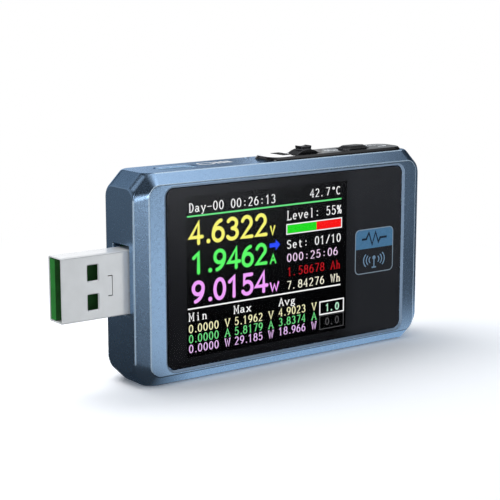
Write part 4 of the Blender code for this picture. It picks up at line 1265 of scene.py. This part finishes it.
def finishes():
    """The material of each slot, and the others that the pieces use."""
    return {
        "case_metal": anodised_metal("anodised_blue"),
        # Edge tones that paint the case's edges: a highlight where they don't face down, shade where they do.
        "edge_highlight": painted_edge_tone("edge_highlight", (0.55, 0.74, 0.95), (0.70, 0.86, 1.0), 0.5),
        # A paler, less metallic tone that paints the slope round the glass as lit.
        "window_slope": painted_edge_tone("window_slope", (0.27, 0.38, 0.52), (0.34, 0.46, 0.62), 0.3),
        "shaded_edge": painted_edge_tone("shaded_edge", (0.03, 0.06, 0.10), (0.06, 0.10, 0.15), 0.9),
        "bright_steel": plated_steel("nickel_plate"),
        # A pale blue plate that paints the bluish highlight seen in the top port.
        "blue_tinted_steel": plated_steel("blue_tinted_plate", (0.52, 0.74, 0.96), (0.3, 0.4)),
        "screw_steel": screw_steel("dark_screw_steel"),
        "contact_gold": gold_plate("gold_plate"),
        "green_insulator": moulded("green_plastic", (0.006, 0.2, 0.014), (0.012, 0.27, 0.026), (0.45, 0.6)),
        # A darker green that paints the shade inside the plug.
        "green_shade": moulded("green_shade", (0.002, 0.075, 0.002), (0.003, 0.11, 0.004), (0.5, 0.65)),
        "black_plastic": moulded("black_plastic", (0.012, 0.012, 0.014), (0.02, 0.02, 0.022), (0.38, 0.55)),
        "gloss_black": moulded(
            "gloss_black", (0.006, 0.006, 0.007), (0.009, 0.009, 0.010), (0.07, 0.11), 1.5, 0.0002, coat=0.15
        ),
        # The controls' paler edges are a painted highlight.
        "controls": moulded(
            "control_plastic", (0.003, 0.003, 0.004), (0.005, 0.005, 0.006), (0.2, 0.3), 0.3, 0.002,
            highlight_edges=(0.12, 0.12, 0.13),
        ),
        "window_glass": clear_glass("window_glass"),
        "window_print": black_print("black_print"),
        "seal_tape": moulded("seal_tape", (0.02, 0.02, 0.02), (0.04, 0.04, 0.04), (0.7, 0.9)),
        "display_panel": dark_screen("dark_screen"),
        "backlight_frame": moulded("backlight_frame", (0.6, 0.6, 0.6), (0.75, 0.75, 0.76), (0.4, 0.5)),
        "ribbon_film": moulded("ribbon_film", (0.45, 0.2, 0.03), (0.6, 0.3, 0.06), (0.25, 0.4), coat=0.4),
        "board_laminate": board_laminate("board_laminate"),
    }


def dress_cad_nodes(finish):
    """Every CAD node takes its slot's finish."""
    for part in frame["record"]["subparts"]:
        materials = frame["nodes"][part["node"]].data.materials
        materials.clear()
        materials.append(finish[part["material_slot"]])


def build_case(finish):
    """The tub with its edges painted light and shade, the screw posts, the cover and its screws."""
    case = fit_out(open_case(front_shell()), finish["case_metal"], "front_case")
    for name in ("edge_highlight", "window_slope", "shaded_edge"):
        case.data.materials.append(finish[name])
    for face in case.data.polygons:
        face.material_index = edge_kind(face.center / MM, face.normal)
    fit_out(screw_posts(), finish["case_metal"])
    fit_out(cover_shell(), finish["case_metal"], "back_cover")
    for number in range(1, 5):
        cover_screw(number, finish["screw_steel"])


def build_connectors(finish):
    """The plug, the sockets and what is inside them."""
    steel = finish["bright_steel"]
    fit_out(plug_shell(), steel, "plug_shell")
    fit_out(socket_shell(), steel, "usb_a_socket_shell")
    right_c = tube("usb_c_right_visual", stadium(*RIGHT_C[1:]), "X", RIGHT_C[0], 0.3)
    fit_out(right_c, steel, "usb_c_right_shell")
    # The top port's shell is tinted pale blue, a painted highlight.
    top_c = tube("usb_c_top_visual", stadium(*TOP_C[:2]), "Z", (TOP_C[2][0], TOP_C[2][1] - 0.08), 0.3)
    fit_out(top_c, finish["blue_tinted_steel"], "usb_c_top_shell")
    tongues = {"usb_a_socket_tongue": 0.12, "usb_c_right_tongue": 0.06, "usb_c_top_tongue": 0.06}
    for node, width in tongues.items():
        fit_out(copy_with_soft_edges(node, width), finish["black_plastic"], node)
    insulator = fit_out(insulator_piece(), finish["green_insulator"], "plug_insulator")
    # Faces further in than 0.3 mm from the plug's tip take the darker green: painted shade inside the plug.
    insulator.data.materials.append(finish["green_shade"])
    for face in insulator.data.polygons:
        face.material_index = int(face.center.x > (PLUG_X[0] + 0.3) * MM)


def build_window(finish):
    """The glass, the print behind it, the display and the badge."""
    outline = rounded(GLASS_X, GLASS_Z, GLASS_RADIUS, 8)
    glass = pillow("window_glass", outline, "Y", (GLASS_Y[0], PRINT_Y), 0.1, square_end=True)
    fit_out(glass, finish["window_glass"], "display_window")
    window_print(finish["window_print"])
    screen = pillow("display_screen", rounded(SCREEN_X, SCREEN_Z, 0.15, 3), "Y", SCREEN_Y, 0.03)
    fit_out(screen, finish["display_panel"])
    display_picture()
    badge()


def build_controls(finish):
    """The plate with the lever and the button in it, and the marks beside them."""
    fit_out(plate_piece(), finish["gloss_black"], "control_plate")
    fit_out(lever_piece(), finish["controls"], "lever_rocker", "lever")
    fit_out(button_piece(), finish["controls"], "back_button", "button")
    top_marks(flat_ink("white_ink", (0.75, 0.77, 0.8)))


# ---------------------------------------------------------------- stage, light and camera

def build_stage():
    """A white floor and surroundings, soft light, cards that only reflections see, and the camera."""
    scene = bpy.context.scene
    scene.view_settings.view_transform = "Standard"
    surroundings(scene)
    stage_floor()
    card("overhead_card", (38, -35, 140), (0, 0, 1), 124, 1.3)
    card("streak_card", (0, -50, 139), (0, 0, 1), 26, 1.6, clear=True)
    card("rear_card", (66, 200, 62), (0, 1, 0), 114, 1.16)
    card("plate_card", (158, 199, 71), (0, 1, 0), 28, 2.2, clear=True)
    card("camera_card", (-150, -165, 66), (0.56, 0.79, -0.16), 68, 6.0)
    card("left_card", (-95, 14, 140), (0, 0, 1), 48, 1.15)
    soft_light("overhead", (-70, 100, 240), (-10, 0, 20), 200, 0.44)
    camera = bpy.data.cameras.new("camera")
    camera.lens = 101.5
    camera.sensor_width = 36
    backward = Vector((-0.5905, -0.7856, 0.1849))
    scene.camera = aimed("camera", camera, (-169.3, -218.3, 73.6), backward)


def aimed(name, data, place, backward):
    """A camera or lamp at place (mm), which looks against backward."""
    obj = new_object(name, data)
    obj.location = Vector(place) * MM
    obj.rotation_euler = backward.to_track_quat("Z", "Y").to_euler()
    return obj


def soft_light(name, place, target, size, power):
    """A square soft box at place (mm) aimed at target."""
    light = bpy.data.lights.new(name, "AREA")
    light.size = size * MM
    light.energy = power
    lamp = aimed(name, light, place, (Vector(place) - Vector(target)).normalized())
    lamp.visible_glossy = False


def surroundings(scene):
    """White to the camera, even soft light to plain surfaces, and dimmer towards the front in reflections."""
    ambient = 0.64
    world = bpy.data.worlds.new("studio")
    scene.world = world
    world.use_nodes = True
    studio = Nodes(world.node_tree)
    path = studio.node("ShaderNodeLightPath")
    x, y, z = studio.axes(studio.node("ShaderNodeTexCoord").outputs["Generated"])
    mirrored = studio.times(studio.spread(y, 0.05, 0.42, -0.3, 0.5), studio.spread(x, 1.0, 0.08, 0.64, 0.9))
    level = studio.tree.nodes.new("ShaderNodeMix")
    studio.feed(level.inputs[0], path.outputs["Is Glossy Ray"])
    studio.feed(level.inputs[2], ambient)
    studio.feed(level.inputs[3], mirrored)
    light = studio.result("ShaderNodeBackground", Color=(0.9, 0.95, 1.0, 1.0), Strength=level.outputs[0])
    shown = studio.result("ShaderNodeBackground", Color=(1.0, 1.0, 1.0, 1.0), Strength=1.0)
    seen = studio.either(path.outputs["Is Camera Ray"], light, shown)
    studio.feed(studio.tree.nodes["World Output"].inputs["Surface"], seen)


def glow(finish, centre, reach, peak):
    """Light level that falls smoothly from peak at centre to nothing at reach (mm)."""
    gap = finish.tree.nodes.new("ShaderNodeVectorMath")
    gap.operation = "DISTANCE"
    finish.feed(gap.inputs[0], finish.node("ShaderNodeNewGeometry").outputs["Position"])
    gap.inputs[1].default_value = Vector(centre) * MM
    ends = {"From_Min": 0.0, "From_Max": reach * MM, "To_Min": peak, "To_Max": 0.0}
    fall = finish.node("ShaderNodeMapRange", Value=gap.outputs["Value"], **ends)
    fall.interpolation_type = "SMOOTHSTEP"
    return fall.outputs["Result"]


def plane(name, centre, facing, reach, material):
    """A square stage plane about centre that faces this way."""
    mesh = bpy.data.meshes.new(name)
    turn = Vector(facing).to_track_quat("Z", "Y")
    corners = rectangle(around(0, reach), around(0, reach))
    points = [(turn @ Vector((u, v, 0)) + Vector(centre)) * MM for u, v in corners]
    mesh.from_pydata(points, [], [(0, 1, 2, 3)])
    mesh.materials.append(material)
    obj = new_object(name, mesh)
    return obj


def card(name, centre, facing, reach, peak, clear=False):
    """A soft round reflector that shows only in reflections; a clear one adds to what is behind it."""
    finish = Finish(name)
    strength = glow(finish, centre, reach, peak)
    light = finish.result("ShaderNodeEmission", Color=(0.97, 0.98, 1.0, 1.0), Strength=strength)
    if clear:
        both = finish.node("ShaderNodeAddShader")
        finish.feed(both.inputs[0], light)
        finish.feed(both.inputs[1], finish.result("ShaderNodeBsdfTransparent"))
        light = both.outputs[0]
    obj = plane(name, centre, facing, reach, finish.surface(light))
    obj.visible_camera = False
    obj.visible_diffuse = False
    obj.visible_shadow = False
    obj.visible_transmission = False


def floor_in_reflections(floor):
    """The floor's level in reflections: brighter to the front, with a slanting band and a pool underneath."""
    x, y, z = floor.axes(floor.node("ShaderNodeNewGeometry").outputs["Position"])

    def along(axis, low, high, start, end):
        return floor.spread(axis, low, high, start * MM, end * MM)

    front = floor.times(along(y, 0.6, 0.0, -160, 0), along(x, 1.0, 0.3, -80, 90))
    back = along(y, 0.05, 0.2, 0, 160)
    slant = floor.plus(floor.times(x, 0.84), floor.times(y, 0.55))
    off_line = floor.maths("ABSOLUTE", floor.plus(slant, 22 * MM))
    band = floor.times(along(off_line, 1.1, 0.0, 0, 48), along(y, 1.1, 0.85, -137, -40))
    band = floor.times(band, along(y, 1.0, 0.0, -34, -16))
    under = floor.times(along(y, 0.0, 1.0, -34, -12), along(y, 1.0, 0.0, 0, 14), along(x, 0.0, 0.8, -32, -22))
    return floor.plus(floor.plus(floor.plus(front, back), band), under)


def stage_floor():
    """White floor: lit for the camera near the object, plain white far away, and patterned in reflections."""
    floor = Finish("floor")
    path = floor.node("ShaderNodeLightPath")
    lit = floor.result("ShaderNodeBsdfDiffuse", Color=(0.8, 0.8, 0.8, 1.0))
    lifted = floor.result("ShaderNodeBsdfDiffuse", Color=(1.12, 1.12, 1.14, 1.0))
    white = floor.result("ShaderNodeEmission", Color=(1.0, 1.0, 1.0, 1.0), Strength=1.0)
    far = floor.maths("SUBTRACT", 1.0, glow(floor, (0, 0, 0), 150, 1.6))
    mirrored = floor.result(
        "ShaderNodeEmission", Color=(0.95, 0.98, 1.0, 1.0), Strength=floor_in_reflections(floor)
    )
    seen = floor.either(path.outputs["Is Camera Ray"], lit, floor.either(far, lifted, white))
    seen = floor.either(path.outputs["Is Glossy Ray"], seen, mirrored)
    plane("floor", (0, 0, 0), (0, 0, 1), 3000, floor.surface(seen))


finish = finishes()
dress_cad_nodes(finish)
build_case(finish)
build_connectors(finish)
build_window(finish)
build_controls(finish)
build_stage()
